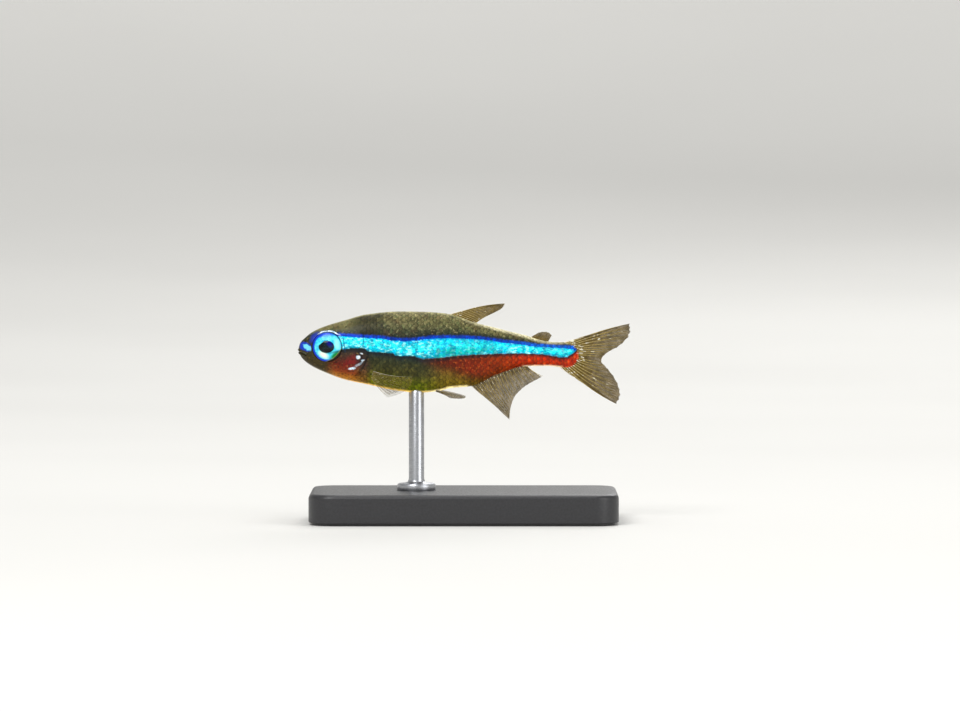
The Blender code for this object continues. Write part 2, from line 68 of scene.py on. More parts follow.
# The fish's place in the frame, in millimetres
EYE_ALONG, EYE_UP = 2.28, 0.43
SNOUT_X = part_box("head")[0][0] / MM + 0.071
EYE_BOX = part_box("eye_left")
AXIS_Z = (EYE_BOX[0][2] + EYE_BOX[1][2]) / 2 / MM - EYE_UP
TAIL_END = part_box("caudal_fin_upper")[1][0] / MM - SNOUT_X

# The body's lines. Each station: how far along it lies, the back, the belly, the half width,
# the level of the widest point, and the fullness of the section, where 2 is an ellipse.
STATIONS = {
    "snout tip": (0.00, 0.20, 0.20, 0.00, 0.20, 2.2),
    "lips": (0.12, 0.70, -0.26, 0.37, 0.20, 2.2),
    "nostril": (0.50, 1.13, -0.73, 0.66, 0.20, 2.2),
    "front of eye": (1.20, 1.66, -1.20, 0.96, 0.25, 2.3),
    "middle of eye": (2.30, 2.12, -1.70, 1.22, 0.30, 2.3),
    "cheek": (3.60, 2.50, -2.17, 1.38, 0.20, 2.2),
    "gill opening": (5.40, 2.98, -2.56, 1.50, 0.10, 2.1),
    "shoulder": (8.00, 3.20, -3.08, 1.52, 0.10, 2.0),
    "deepest": (9.60, 3.18, -3.20, 1.48, 0.10, 2.0),
    "pelvic fins": (11.00, 3.10, -3.06, 1.38, 0.10, 2.0),
    "front of dorsal fin": (11.90, 2.98, -2.84, 1.28, 0.10, 2.0),
    "vent": (13.50, 2.42, -2.70, 1.08, 0.10, 2.0),
    "middle of anal fin": (15.60, 1.88, -1.76, 0.82, 0.10, 2.0),
    "end of anal fin": (17.70, 1.35, -1.15, 0.62, 0.05, 2.1),
    "tail stalk": (19.40, 0.88, -1.12, 0.50, -0.10, 2.2),
    "tail base": (21.00, 0.80, -1.25, 0.40, -0.25, 2.3),
    "body end": (22.80, 0.84, -1.38, 0.27, -0.30, 2.5),
}

# Skin and scales. The skin's grid is finer on the head.
SKIN_INSET = 0.03
HEAD_RINGS, TRUNK_RINGS, RING_POINTS = 120, 150, 256
HEAD_LENGTH = 5.7
TAIL_ROOT_ALONG, TAIL_ROOT_UP, TAIL_ROOT_REACH, TAIL_ROOT_RISE = 20.5, -0.28, 1.48, 1.15
FIRST_SCALES, LAST_SCALES, SCALE_STEP = 3.95, 21.75, 0.74
SCALE_PATCH = 0.003

# Head
ORBIT_RADIUS, ORBIT_DEPTH, ORBIT_RIM = 1.15, 0.5, 0.035
MOUTH_CENTRE, MOUTH_UP, MOUTH_DROP, MOUTH_TURN = 0.72, 0.05, 0.40, math.radians(92)
LIP_HEIGHT, LIP_OFFSET, SLIT_DEPTH, SLIT_WIDTH = 0.07, 0.12, 0.13, 0.035
NOSTRILS = ((0.54, 0.85), (0.78, 0.99))
NOSTRIL_RADIUS, NOSTRIL_DEPTH = 0.085, 0.09
GILL_LINE = {3.6: 4.15, 1.7: 4.85, 0.2: 5.42, -1.1: 5.05, -2.1: 4.10, -3.2: 3.05}
CHEEK_LINE = {1.2: 3.85, 0.1: 4.22, -0.8: 3.92, -1.4: 3.20}
GILL_FLARE, GILL_FLARE_START, CHEEK_GROOVE = 0.09, 3.7, 0.035

# Eye: where it rests, how far its cap and its pupil rise, and the pupil's centre and shape
EYE_RIM, EYE_CAP, PUPIL_BULGE = 1.05, 0.31, 0.10
EYE_FORWARD, EYE_UPWARD, EYE_SEGMENTS = math.radians(10), math.radians(3), 64
PUPIL_CENTRE, PUPIL_LONG, PUPIL_HIGH = (2.23, 0.45), 1.06, 0.84

# Fins: how deep a root sits in the body, the rays' branches as shares of their length, and the
# share of its length that the web falls short between two rays
ROOT_SINK = 0.18
FIRST_FORK, SECOND_FORK = 0.45, 0.72
WEB_NOTCH, WEB_COLUMNS = 0.015, 4

# The stripe's upper and lower edges, as how far along and up
STRIPE_TOP = (
    (3.3, 1.40), (4.7, 1.30), (6.4, 1.22), (8.3, 1.02), (9.8, 1.14), (10.8, 1.22), (12.8, 1.20),
    (14.9, 1.04), (15.9, 0.88), (17.0, 0.77), (19.1, 0.52), (21.2, 0.39), (21.9, 0.34),
)
STRIPE_BOTTOM = (
    (3.3, 0.20), (4.9, 0.32), (5.5, 0.05), (7.4, -0.10), (7.9, -0.32), (8.6, -0.30), (9.9, -0.53),
    (10.8, -0.49), (12.6, -0.29), (14.9, -0.18), (17.0, -0.13), (18.6, -0.18), (20.1, -0.36),
    (20.7, -0.46), (21.2, -0.28), (21.8, 0.20),
)

# Silvery flecks of the gill cover, painted highlights where its rear edge catches the light: centre, half
# lengths, turn in degrees and brightness
GILL_HIGHLIGHT_FLECKS = (
    ((4.95, -0.08), (0.09, 0.07), 0, 0.8), ((4.72, -0.36), (0.16, 0.14), 30, 1.0),
    ((5.08, -0.60), (0.11, 0.07), 20, 0.9), ((4.76, -0.92), (0.36, 0.08), 32, 0.45),
    ((4.24, -1.24), (0.28, 0.10), 8, 1.0),
)
# White specks at the root of the tail fin: centre, half lengths and turn in degrees
TAIL_SPECKS = (
    ((21.58, 0.69), (0.07, 0.05), -60), ((22.00, 0.45), (0.13, 0.04), -20),
    ((22.10, 0.19), (0.15, 0.04), -10), ((22.20, -0.42), (0.14, 0.04), -25),
    ((22.30, -0.62), (0.10, 0.04), -30), ((21.80, -0.67), (0.08, 0.04), -30),
    ((23.15, -2.10), (0.16, 0.05), -40), ((23.48, 1.02), (0.10, 0.05), 30),
)

# Studio: each light's name, place and size in metres, and power in watts
LIGHTS = (
    ("key", (-0.18, -0.34, 0.36), 0.26, 1.5),
    ("fill", (0.34, -0.26, 0.16), 0.26, 0.55),
    ("top", (0.02, 0.06, 0.42), 0.30, 0.6),
    ("back", (0.10, 0.40, 0.28), 0.24, 0.6),
)
LIT_POINT, WORLD_STRENGTH = (0.0, 0.0, 0.012), 0.40
FLOOR_REACH, FLOOR_RISE, FLOOR_SEGMENTS = 1.2, 0.43, 96

# Stand, in millimetres. The flange's rings are (inset from its edge, height over the board), the
# neck's (reach past the rod's radius, height over the board), the foot's (inset, height).
ROD_RADIUS, ROD_IN_BELLY, ROD_SEGMENTS = 0.6, 0.55, 48
ROD_FLANGE = ((0.05, -0.05), (0.0, 0.04), (0.0, 0.42), (0.06, 0.52), (0.2, 0.56))
ROD_NECK = ((0.3, 0.58), (0.08, 0.68), (0.0, 0.92))
BASE_CORNER, CORNER_STEPS, BASE_BEVEL = 2.0, 14, 0.35
BASE_FOOT = ((1.0, 0.0), (0.30, 0.0), (0.25, 0.05), (0.25, 0.16), (0.06, 0.20), (0.0, 0.26))
CRISP_EDGE = 35

# The photo's size in pixels, a pixel's size in millimetres, and where snout and axis lie in it
PHOTO_WIDTH, PHOTO_HEIGHT, PIXEL = 960, 711, 0.0781
SNOUT_PIXEL, AXIS_PIXEL = 298.3, 352.0
CAMERA_DISTANCE, CAMERA_ELEVATION = 450.0, math.radians(2.0)


def srgb(red, green, blue):
    """A colour as seen on a screen, 0 to 255, as linear light for a shader."""
    parts = [c / 255 for c in (red, green, blue)]
    return tuple(c / 12.92 if c <= 0.04045 else ((c + 0.055) / 1.055) ** 2.4 for c in parts)


def colour(name, description, seen):
    return bpy.props.FloatVectorProperty(
        name=name, description=description, default=srgb(*seen), subtype="COLOR", min=0, max=1
    )


def length(name, description, default):
    """A size in millimetres, as a user of the panel would set it."""
    return bpy.props.FloatProperty(name=name, description=description, default=default, min=0.001)


class TetraSizes(bpy.types.PropertyGroup):
    scale_length: length("Scale length", "Length of one body scale in millimetres", 0.66)
    scale_rows: length("Row spacing", "Distance between two rows of scales in millimetres", 0.46)
    scale_lift: length("Scale lift", "How far a scale's free edge stands off, in millimetres", 0.018)
    eye_radius: length("Eye radius", "Radius of the eye in millimetres", 1.14)
    pupil_radius: length("Pupil radius", "Radius of the pupil in millimetres", 0.58)
    web_thickness: length("Web thickness", "Thickness of a fin's web in millimetres", 0.05)
    ray_radius: length("Ray radius", "Radius of a fin ray at its root in millimetres", 0.05)


class TetraColours(bpy.types.PropertyGroup):
    back: colour("Back", "Olive of the back", (98, 96, 60))
    # Painted highlight: the pale line on the back's ridge, where the top light falls
    back_edge: colour("Back edge", "Pale line along the top of the back", (168, 162, 112))
    stripe: colour("Stripe", "Cyan of the neon stripe", (8, 226, 240))
    stripe_edge: colour("Stripe edge", "Deep blue line over the stripe", (4, 62, 196))
    stripe_green: colour("Stripe green", "Greener part of the stripe", (10, 180, 166))
    flank: colour("Flank", "Dark olive under the stripe", (50, 55, 36))
    belly: colour("Belly", "Yellow-green low on the belly", (122, 134, 12))
    # Painted highlight: the gold line on the belly's edge
    belly_edge: colour("Belly edge", "Gold line along the belly", (246, 196, 86))
    red: colour("Red", "Red of the rear half", (206, 46, 4))
    red_front: colour("Red front", "Dull red where the red field begins", (104, 32, 16))
    cheek: colour("Cheek", "Red-brown of the cheek", (98, 30, 18))
    throat: colour("Throat", "Orange of the throat", (212, 136, 40))
    # Painted highlight: colour of the gill cover's flecks and of the arc over the orbit
    silver_highlight: colour("Silver", "Silver-blue flecks of the gill cover", (226, 238, 246))
    iris: colour("Iris", "Cyan of the iris", (90, 232, 244))
    fin_web: colour("Fin web", "Olive tint of the fins' web", (112, 88, 12))
    fin_ray: colour("Fin ray", "Pale rays of the fins", (182, 162, 92))
    base: colour("Base", "Satin finish of the stand's base", (38, 38, 40))
    rod: colour("Rod", "Steel of the stand's rod", (190, 192, 196))
    floor: colour("Floor", "Pale floor of the studio", (226, 225, 221))


def sizes():
    return bpy.context.scene.tetra_sizes


def colours():
    return bpy.context.scene.tetra_colours


# Lines and sections of the body


def smooth_line(points):
    """A function through the (x, y) points that keeps level with them and never overshoots."""
    xs, ys = np.array(sorted(points), float).T
    steps = np.diff(ys) / np.diff(xs)
    slopes = np.zeros(len(xs))
    slopes[0], slopes[-1] = steps[0], steps[-1]
    before, after = steps[:-1], steps[1:]
    same_way = before * after > 0
    total = np.where(same_way, before + after, 1.0)
    slopes[1:-1] = np.where(same_way, 2 * before * after / total, 0.0)

    def value(x):
        x = np.clip(np.asarray(x, float), xs[0], xs[-1])
        i = np.clip(np.searchsorted(xs, x, side="right") - 1, 0, len(xs) - 2)
        width = xs[i + 1] - xs[i]
        t = (x - xs[i]) / width
        level = ys[i] * (1 + 2 * t) * (1 - t) ** 2 + ys[i + 1] * t * t * (3 - 2 * t)
        return level + width * (slopes[i] * t * (1 - t) ** 2 - slopes[i + 1] * t * t * (1 - t))

    return value


def body_line(column):
    """One column of STATIONS as a function of along. Its square root rounds the snout off."""
    line = smooth_line([(math.sqrt(row[0]), row[column]) for row in STATIONS.values()])
    return lambda along: line(np.sqrt(np.maximum(along, 0.0)))


back, belly, half_width, widest_level, fullness = (body_line(i) for i in range(1, 6))
gill_line = smooth_line(GILL_LINE.items())
cheek_line = smooth_line(CHEEK_LINE.items())


def section(along, angle):
    """(out, up) on the body's section: angle 0 is the back, pi the belly."""
    power = 2.0 / fullness(along)
    level = widest_level(along)
    cosine, sine = np.cos(angle), np.sin(angle)
    reach = np.where(cosine > 0, back(along) - level, level - belly(along))
    out = half_width(along) * np.copysign(np.abs(sine) ** power, sine)
    return out, level + reach * np.copysign(np.abs(cosine) ** power, cosine)


def half_breadth(along, up):
    """How far out the body's side lies at this place."""
    level = widest_level(along)
    reach = np.where(up > level, back(along) - level, level - belly(along))
    share = np.minimum(np.abs(up - level) / reach, 1.0)
    return half_width(along) * (1 - share ** fullness(along)) ** (1 / fullness(along))


def fish_to_world(along, out, up):
    """Points of the fish, in millimetres along its axis, as metres in the frame."""
    return np.stack(np.broadcast_arrays(SNOUT_X + along, out, AXIS_Z + up), axis=-1) * MM


def bump(distance, width):
    """1 where the distance is 0, and soon 0 past the width on either side."""
    return np.exp(-((distance / width) ** 2))


def rise(value, start, end):
    """0 before start, 1 after end, with a soft slope between."""
    t = np.clip((value - start) / (end - start), 0, 1)
    return t * t * (3 - 2 * t)


# Meshes and objects


def in_scene(name, data):
    made = bpy.data.objects.new(name, data)
    bpy.context.scene.collection.objects.link(made)
    return made


def new_piece(name, points, faces, material):
    """A smooth mesh object with its place in its mesh. Points are in metres."""
    mesh = bpy.data.meshes.new(name)
    mesh.from_pydata([tuple(p) for p in points], [], [tuple(map(int, f)) for f in faces])
    mesh.validate()
    mesh.shade_smooth()
    mesh.materials.append(material)
    return in_scene(name, mesh)


def face_outwards(piece):
    shape = bmesh.new()
    shape.from_mesh(piece.data)
    bmesh.ops.recalc_face_normals(shape, faces=shape.faces)
    shape.to_mesh(piece.data)
    shape.free()


def dress(piece, slot, *nodes):
    """The piece rides on the fish and stands for the named nodes. Its slot is not used."""
    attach(piece, BODY)
    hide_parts(*nodes)


def add_attribute(mesh, name, values, kind="FLOAT"):
    layer = mesh.attributes.new(name, kind, "POINT")
    key = "value" if kind == "FLOAT" else "vector"
    layer.data.foreach_set(key, np.asarray(values, np.float32).ravel())


def read_vectors(mesh, name):
    values = np.zeros(len(mesh.vertices) * 3, np.float32)
    mesh.attributes[name].data.foreach_get("vector", values)
    return values.reshape(-1, 3)


def tube_faces(rings, around, first=0):
    """Quads between rings of points that are numbered one ring after the other."""
    faces = []
    for start in range(first, first + (rings - 1) * around, around):
        for k in range(around):
            a, b = start + k, start + (k + 1) % around
            faces.append((a, b, b + around, a + around))
    return faces


def closed_faces(rings, around):
    """A tube's quads with a fan at each end: the points are a tip, the rings and the other tip."""
    faces = tube_faces(rings, around, 1)
    last = 1 + rings * around
    for k in range(around):
        after = (k + 1) % around
        faces.append((0, 1 + after, 1 + k))
        faces.append((last, last - around + k, last - around + after))
    return faces


def swept(profile, outline):
    """Rings of points: each (reach, height) of the profile round an outline of (x, y, nx, ny)."""
    return [
        (x + nx * reach, y + ny * reach, height) for reach, height in profile for x, y, nx, ny in outline
    ]


def circle(count, x=0.0):
    """An outline of so many points round a middle at x, from which swept makes turned shapes."""
    turns = (2 * math.pi * k / count for k in range(count))
    return [(x, 0.0, math.cos(turn), math.sin(turn)) for turn in turns]


# Building with nodes


class Value:
    """A number, vector or colour at a socket. Sums and products of Values are nodes of their tree."""

    def __init__(self, nodes, socket):
        self.nodes, self.socket = nodes, socket

    def __add__(self, other):
        return self.nodes.math("ADD", self, other)

    def __sub__(self, other):
        return self.nodes.math("SUBTRACT", self, other)

    def __rsub__(self, other):
        return self.nodes.math("SUBTRACT", other, self)

    def __mul__(self, other):
        return self.nodes.math("MULTIPLY", self, other)

    def __truediv__(self, other):
        return self.nodes.math("DIVIDE", self, other)

    def __abs__(self):
        return self.nodes.math("ABSOLUTE", self)

    def slope(self, start, end, low=0.0, high=1.0):
        """low before start, high after end, with a soft slope between."""
        numbers = enumerate((self, start, end, low, high))
        return self.nodes.value("ShaderNodeMapRange", numbers, interpolation_type="SMOOTHSTEP")

    def mix(self, first, second):
        """The first colour where this is 0, the second where it is 1."""
        return self.nodes.mix(self, first, second)


class Nodes:
    """Adds nodes to a tree. Values, numbers and colours are all welcome as inputs."""

    def __init__(self, tree):
        self.tree = tree

    def feed(self, socket, value):
        if isinstance(value, Value):
            self.tree.links.new(value.socket, socket)
        else:
            socket.default_value = (*value, 1.0) if socket.type == "RGBA" else value

    def fill(self, node, inputs):
        for key, value in dict(inputs).items():
            self.feed(node.inputs[key], value)
        return node

    def node(self, kind, inputs=(), **settings):
        made = self.tree.nodes.new(kind)
        for key, value in settings.items():
            setattr(made, key, value)
        return self.fill(made, inputs)

    def value(self, kind, inputs=(), output=0, **settings):
        return Value(self, self.node(kind, inputs, **settings).outputs[output])

    def math(self, operation, *values, clamp=False):
        return self.value("ShaderNodeMath", enumerate(values), operation=operation, use_clamp=clamp)

    def larger(self, first, second):
        return self.math("MAXIMUM", first, second)

    def mix(self, share, first, second):
        inputs = {0: share, 6: first, 7: second}
        return self.value("ShaderNodeMix", inputs, 2, data_type="RGBA", clamp_factor=True)

    def ramp(self, value, *stops):
        made = self.node("ShaderNodeValToRGB", {0: value})
        steps = made.color_ramp.elements
        while len(steps) < len(stops):
            steps.new(0.5)
        for step, (place, shade) in zip(steps, stops):
            step.position = place
            step.color = (*shade, 1.0)
        return Value(self, made.outputs[0])

    def line(self, value, points):
        """A smooth line through the (x, y) points as a function of the value."""
        xs, ys = zip(*points)
        low_x, high_x, low_y, high_y = min(xs), max(xs), min(ys), max(ys)
        share = self.value("ShaderNodeMapRange", {0: value, 1: low_x, 2: high_x})
        made = self.node("ShaderNodeFloatCurve", {1: share})
        curve = made.mapping.curves[0]
        while len(curve.points) < len(points):
            curve.points.new(0.5, 0.5)
        for point, (x, y) in zip(curve.points, points):
            point.location = ((x - low_x) / (high_x - low_x), (y - low_y) / (high_y - low_y))
            point.handle_type = "AUTO_CLAMPED"
        made.mapping.update()
        return Value(self, made.outputs[0]) * (high_y - low_y) + low_y

    def noise(self, place, scale, detail=2.0, stretch=(1, 1, 1)):
        """Noise from 0 to 1, its scale in patches per millimetre of the place."""
        cloud = {0: self.value("ShaderNodeMapping", {0: place, 3: stretch}), "Scale": scale, "Detail": detail}
        return self.value("ShaderNodeTexNoise", cloud)

    def place(self):
        """Object coordinates in millimetres: a vector, how far along, out and up."""
        where = self.value("ShaderNodeTexCoord", output="Object")
        to_fish = enumerate((where, (1 / MM,) * 3, (-SNOUT_X, 0.0, -AXIS_Z)))
        place = self.value("ShaderNodeVectorMath", to_fish, operation="MULTIPLY_ADD")
        split = self.node("ShaderNodeSeparateXYZ", {0: place})
        return (place, *(Value(self, socket) for socket in split.outputs))

    def attribute(self, name):
        return self.value("ShaderNodeAttribute", output="Fac", attribute_name=name)

    def relief(self, height, strength, distance):
        """A normal from a height of so many millimetres."""
        return self.value(
            "ShaderNodeBump", {"Strength": strength, "Distance": distance * MM, "Height": height}
        )

    def group(self, tree, **inputs):
        """A node group's outputs by name."""
        named = {key.capitalize(): value for key, value in inputs.items()}
        made = self.node("ShaderNodeGroup", named, node_tree=tree)
        return {socket.name: Value(self, socket) for socket in made.outputs}


def new_material(name):
    """(material, its nodes, its Principled BSDF)"""
    made = bpy.data.materials.new(name)
    made.use_nodes = True
    return made, Nodes(made.node_tree), made.node_tree.nodes["Principled BSDF"]


def new_tree(name, kind, inputs, outputs):
    """(tree, its nodes, its inputs by name, its output node), with the type of each socket given."""
    tree = bpy.data.node_groups.new(name, kind)
    for way, sockets in (("INPUT", inputs), ("OUTPUT", outputs)):
        for label, socket_type in sockets.items():
            tree.interface.new_socket(label, in_out=way, socket_type="NodeSocket" + socket_type)
    nodes = Nodes(tree)
    entry = nodes.node("NodeGroupInput")
    given = {label: Value(nodes, entry.outputs[label]) for label in inputs}
    return tree, nodes, given, nodes.node("NodeGroupOutput")


def shared(blocks, name, build):
    """The material or tree of this name, built when it is first asked for."""
    return blocks.get(name) or build(name)


def grow(carrier, tree, **inputs):
    """Runs a geometry tree on the carrier and returns its result as a plain mesh object."""
    step = carrier.modifiers.new("grow", "NODES")
    step.node_group = tree
    known = {item.name: item.identifier for item in tree.interface.items_tree if item.in_out == "INPUT"}
    for label, value in inputs.items():
        step[known[label.capitalize()]] = value
    carrier.update_tag()
    graph = bpy.context.evaluated_depsgraph_get()
    mesh = bpy.data.meshes.new_from_object(carrier.evaluated_get(graph), depsgraph=graph)
    name = carrier.name
    bpy.data.objects.remove(carrier, do_unlink=True)
    mesh.name = name
    return in_scene(name, mesh)


def distance(x, y):
    return x.nodes.math("SQRT", x * x + y * y)


def blob(along, up, centre, reach, turn=0, soft=0.3):
    """1 inside an ellipse with these half axes, turned by so many degrees, with a soft rim."""
    ahead, above = along - centre[0], up - centre[1]
    cosine, sine = math.cos(math.radians(turn)), math.sin(math.radians(turn))
    x = ahead * (cosine / reach[0]) + above * (sine / reach[0])
    y = above * (cosine / reach[1]) - ahead * (sine / reach[1])
    return distance(x, y).slope(1 + soft, 1 - soft)


# The fish's colours


class SkinPlace:
    """Where a point of the skin lies, in millimetres, and its shares of the way across the back,
    the stripe and the belly. The wavy place wanders a little, so that no edge is ruled."""

    def __init__(self, nodes):
        self.nodes = nodes
        self.place, self.along, self.out, self.up = nodes.place()
        wobble = nodes.noise(self.place, 3.2, 3.0) - 0.5
        fine = nodes.noise(self.place, 9.0, 2.0) - 0.5
        self.wavy_along = wobble * 0.45 + self.along
        self.wavy_up = fine * 0.14 + (wobble * 0.12 + self.up)
        top, bottom = (nodes.line(self.along, edge) for edge in (STRIPE_TOP, STRIPE_BOTTOM))
        self.back_edge, self.belly_edge = (
            nodes.line(self.along, [(row[0], row[column]) for row in STATIONS.values()])
            for column in (1, 2)
        )
        self.over, self.under = self.wavy_up - top, bottom - self.wavy_up
        self.back_share = self.over / nodes.larger(self.back_edge - top, 0.3)
        self.belly_share = self.under / nodes.larger(bottom - self.belly_edge, 0.2)
        self.stripe_share = (self.wavy_up - bottom) / nodes.larger(top - bottom, 0.1)

    def blob(self, centre, reach, turn=0, soft=0.3):
        return blob(self.wavy_along, self.wavy_up, centre, reach, turn, soft)

    def outside_orbit(self, radius):
        """0 inside a circle round the middle of the eye."""
        return 1.0 - blob(self.along, self.up, (EYE_ALONG, EYE_UP), (radius, radius), 0, 0.03)

    def mottle(self, base, shade, scale, start, end, strength, detail=3.0, stretch=(1, 1, 1)):
        """The base with patches of another shade, so many patches per millimetre."""
        patches = self.nodes.noise(self.place, scale, detail, stretch)
        return patches.slope(start, end, 0.0, strength).mix(base, shade)


def back_colour(at):
    """Olive above the stripe: darker beside it and on the nape, mottled, paler towards the back."""
    olive = at.nodes.ramp(
        at.back_share,
        (0.04, srgb(38, 50, 46)),
        (0.26, srgb(62, 68, 46)),
        (0.46, colours().back),
        (0.80, srgb(120, 114, 72)),
        (1.0, srgb(134, 128, 84)),
    )
    olive = at.mottle(olive, srgb(92, 68, 44), 1.7, 0.45, 0.70, 0.50, 4.0)
    olive = at.mottle(olive, srgb(82, 108, 66), 3.6, 0.54, 0.66, 0.40)
    olive = at.mottle(olive, srgb(32, 42, 28), 4.2, 0.50, 0.66, 0.55)
    olive = at.mottle(olive, srgb(182, 172, 122), 6.5, 0.58, 0.68, 0.40, 2.0)
    nape = at.wavy_along.slope(3.6, 4.8, 0.0, 0.8) * at.wavy_along.slope(7.6, 5.8)
    return nape.mix(olive, srgb(44, 42, 22))


def flank_colour(at):
    """Under the stripe: dark olive to gold-green on the trunk, and red towards the tail."""
    share, along = at.belly_share, at.wavy_along
    front = at.nodes.ramp(
        share,
        (0.03, srgb(30, 44, 46)),
        (0.16, colours().flank),
        (0.50, srgb(74, 72, 32)),
        (0.72, srgb(104, 112, 22)),
        (0.92, colours().belly),
    )
    rear = at.nodes.ramp(
        share, (0.05, srgb(62, 40, 22)), (0.40, srgb(118, 92, 30)), (0.9, srgb(150, 124, 34))
    )
    olive = along.slope(9.5, 12.0).mix(front, rear)
    gold = share.slope(0.25, 0.8, 0.1, 0.5)
    olive = at.mottle(olive, srgb(166, 150, 58), 3.4, 0.52, 0.70, gold)
    olive = at.mottle(olive, srgb(32, 38, 22), 4.6, 0.50, 0.66, 0.42)

    red = at.nodes.ramp(
        along.slope(10.6, 18.3),
        (0.0, colours().red_front),
        (0.50, srgb(138, 44, 10)),
        (0.80, srgb(172, 56, 8)),
        (1.0, colours().red),
    )
    red = share.slope(0.0, 0.16, 0.8, 0.0).mix(red, srgb(48, 28, 22))
    low = share.slope(0.40, 0.95) * along.slope(17.5, 13.5, 0.15, 0.75)
    red = low.mix(red, srgb(92, 52, 20))
    red = at.mottle(red, srgb(112, 24, 10), 3.0, 0.42, 0.66, 0.35)
    red = at.mottle(red, srgb(214, 104, 36), 5.5, 0.56, 0.68, 0.4, 2.0)
    return (along - share * 4.4).slope(8.6, 11.4).mix(olive, red)


def head_colour(at):
    """Olive snout, red-brown cheek, dark gill cover and orange throat."""
    share, along = at.belly_share, at.wavy_along
    snout = at.wavy_up.slope(-0.9, 0.3).mix(srgb(66, 56, 26), srgb(54, 54, 34))
    cheek = at.nodes.ramp(
        share,
        (0.0, srgb(40, 46, 40)),
        (0.20, srgb(72, 48, 38)),
        (0.48, colours().cheek),
        (0.74, srgb(146, 66, 28)),
        (0.92, colours().throat),
    )
    cover = at.nodes.ramp(
        share,
        (0.0, srgb(36, 42, 40)),
        (0.45, srgb(80, 52, 44)),
        (0.75, srgb(116, 78, 34)),
        (0.96, srgb(176, 124, 44)),
    )
    head = along.slope(2.0, 3.0).mix(snout, cheek)
    head = along.slope(4.2, 5.0).mix(head, cover)
    red = at.blob((4.25, -0.72), (0.75, 0.42), 35, 0.6) * 0.55
    head = red.mix(head, srgb(140, 30, 34))
    halo = at.blob((4.86, -0.40), (0.34, 0.62), 0, 0.6) * 0.75
    head = halo.mix(head, srgb(20, 30, 32))
    head = at.mottle(head, srgb(34, 32, 24), 6.5, 0.50, 0.62, 0.55)
    return at.mottle(head, srgb(176, 140, 74), 5.2, 0.60, 0.70, 0.35)


def body_colour(at):
    """Back, flank and head, without the stripe, the lines and the marks."""
    lower = at.wavy_along.slope(5.9, 5.1).mix(flank_colour(at), head_colour(at))
    return at.over.slope(-0.5, 0.1).mix(lower, back_colour(at))


def paint_back_highlight(at, body):
    """(body, line): a pale line on the ridge of the back, cream from the dorsal fin on: a painted highlight
    where the top light falls.
    """
    on_head = at.along.slope(5.0, 3.5)
    cream = at.wavy_along.slope(12.0, 14.5) * at.wavy_along.slope(21.2, 20.2)
    depth = (on_head - cream) * 0.10 + (at.back_edge - at.up)
    line = depth.slope(0.24, 0.06) * abs(at.out).slope(0.55, 0.22) * at.along.slope(0.5, 1.6)
    pale = cream.mix(colours().back_edge, srgb(222, 214, 170))
    return (line * on_head.slope(0.0, 1.0, 0.85, 0.6)).mix(body, pale), line


def paint_belly_highlight(at, body):
    """(body, glow): gold on the belly's edge, cream by the pelvic fins, white under the stalk: a painted
    highlight, with a glow that keeps it bright on the shaded underside.
    """
    on_belly = at.wavy_along.slope(0.6, 2.6) * at.wavy_along.slope(13.5, 13.1)
    on_stalk = at.wavy_along.slope(17.3, 17.7) * at.wavy_along.slope(20.9, 20.3)
    height = on_stalk * 0.07 + (at.up - at.belly_edge)
    keel = abs(at.out) - at.along.slope(4.0, 6.5, 0.0, 0.22)
    thin = at.along.slope(4.5, 2.5)
    line = height.slope(thin.slope(0.0, 1.0, 0.27, 0.20), 0.08) * keel.slope(0.55, 0.22)
    line = line * thin.slope(0.0, 1.0, 1.0, 0.55) * at.nodes.larger(on_belly, on_stalk)
    gold = at.along.slope(9.0, 11.0).mix(colours().belly_edge, srgb(250, 230, 160))
    gold = on_stalk.mix(gold, srgb(252, 228, 188))
    gold = at.along.slope(3.6, 2.2).mix(gold, srgb(206, 186, 110))
    glow = line * at.along.slope(3.5, 9.5, 0.45, 1.0) * on_stalk.slope(0.0, 1.0, 1.0, 0.75)
    return (line * 0.95).mix(body, gold), glow


def stripe_core(at):
    """Cyan, brightest in the middle, broken by greener, bluer and paler patches. The paler patches are
    painted highlight, strongest before 10.4 mm along and round 17.8 mm along.
    """
    share, along = at.stripe_share, at.wavy_along
    core = at.nodes.ramp(
        share,
        (0.02, srgb(4, 96, 118)),
        (0.14, srgb(10, 176, 190)),
        (0.32, colours().stripe),
        (0.60, srgb(52, 250, 252)),
        (0.80, srgb(10, 222, 248)),
        (0.95, srgb(10, 140, 232)),
    )
    greener = along.slope(10.60, 10.85) * along.slope(16.5, 13.5) * share.slope(0.30, 0.62, 0.95, 0.30)
    core = greener.mix(core, colours().stripe_green)
    core = at.mottle(core, srgb(0, 150, 200), 3.4, 0.46, 0.64, 0.80, 4.0, (1.0, 1.0, 2.0))
    # Painted highlight: whiter patches where the stripe's sheen catches the light
    highlight_zones = at.nodes.larger(along.slope(10.8, 10.4), abs(along - 17.8).slope(1.8, 0.8))
    paler = highlight_zones.slope(0.0, 1.0, 0.30, 0.90)
    core = at.mottle(core, srgb(160, 255, 250), 3.6, 0.50, 0.64, paler, 4.0, (0.8, 1.0, 1.7))
    return at.mottle(core, srgb(0, 84, 166), 10.0, 0.53, 0.63, 0.60, 3.0, (1.6, 1.0, 0.8))


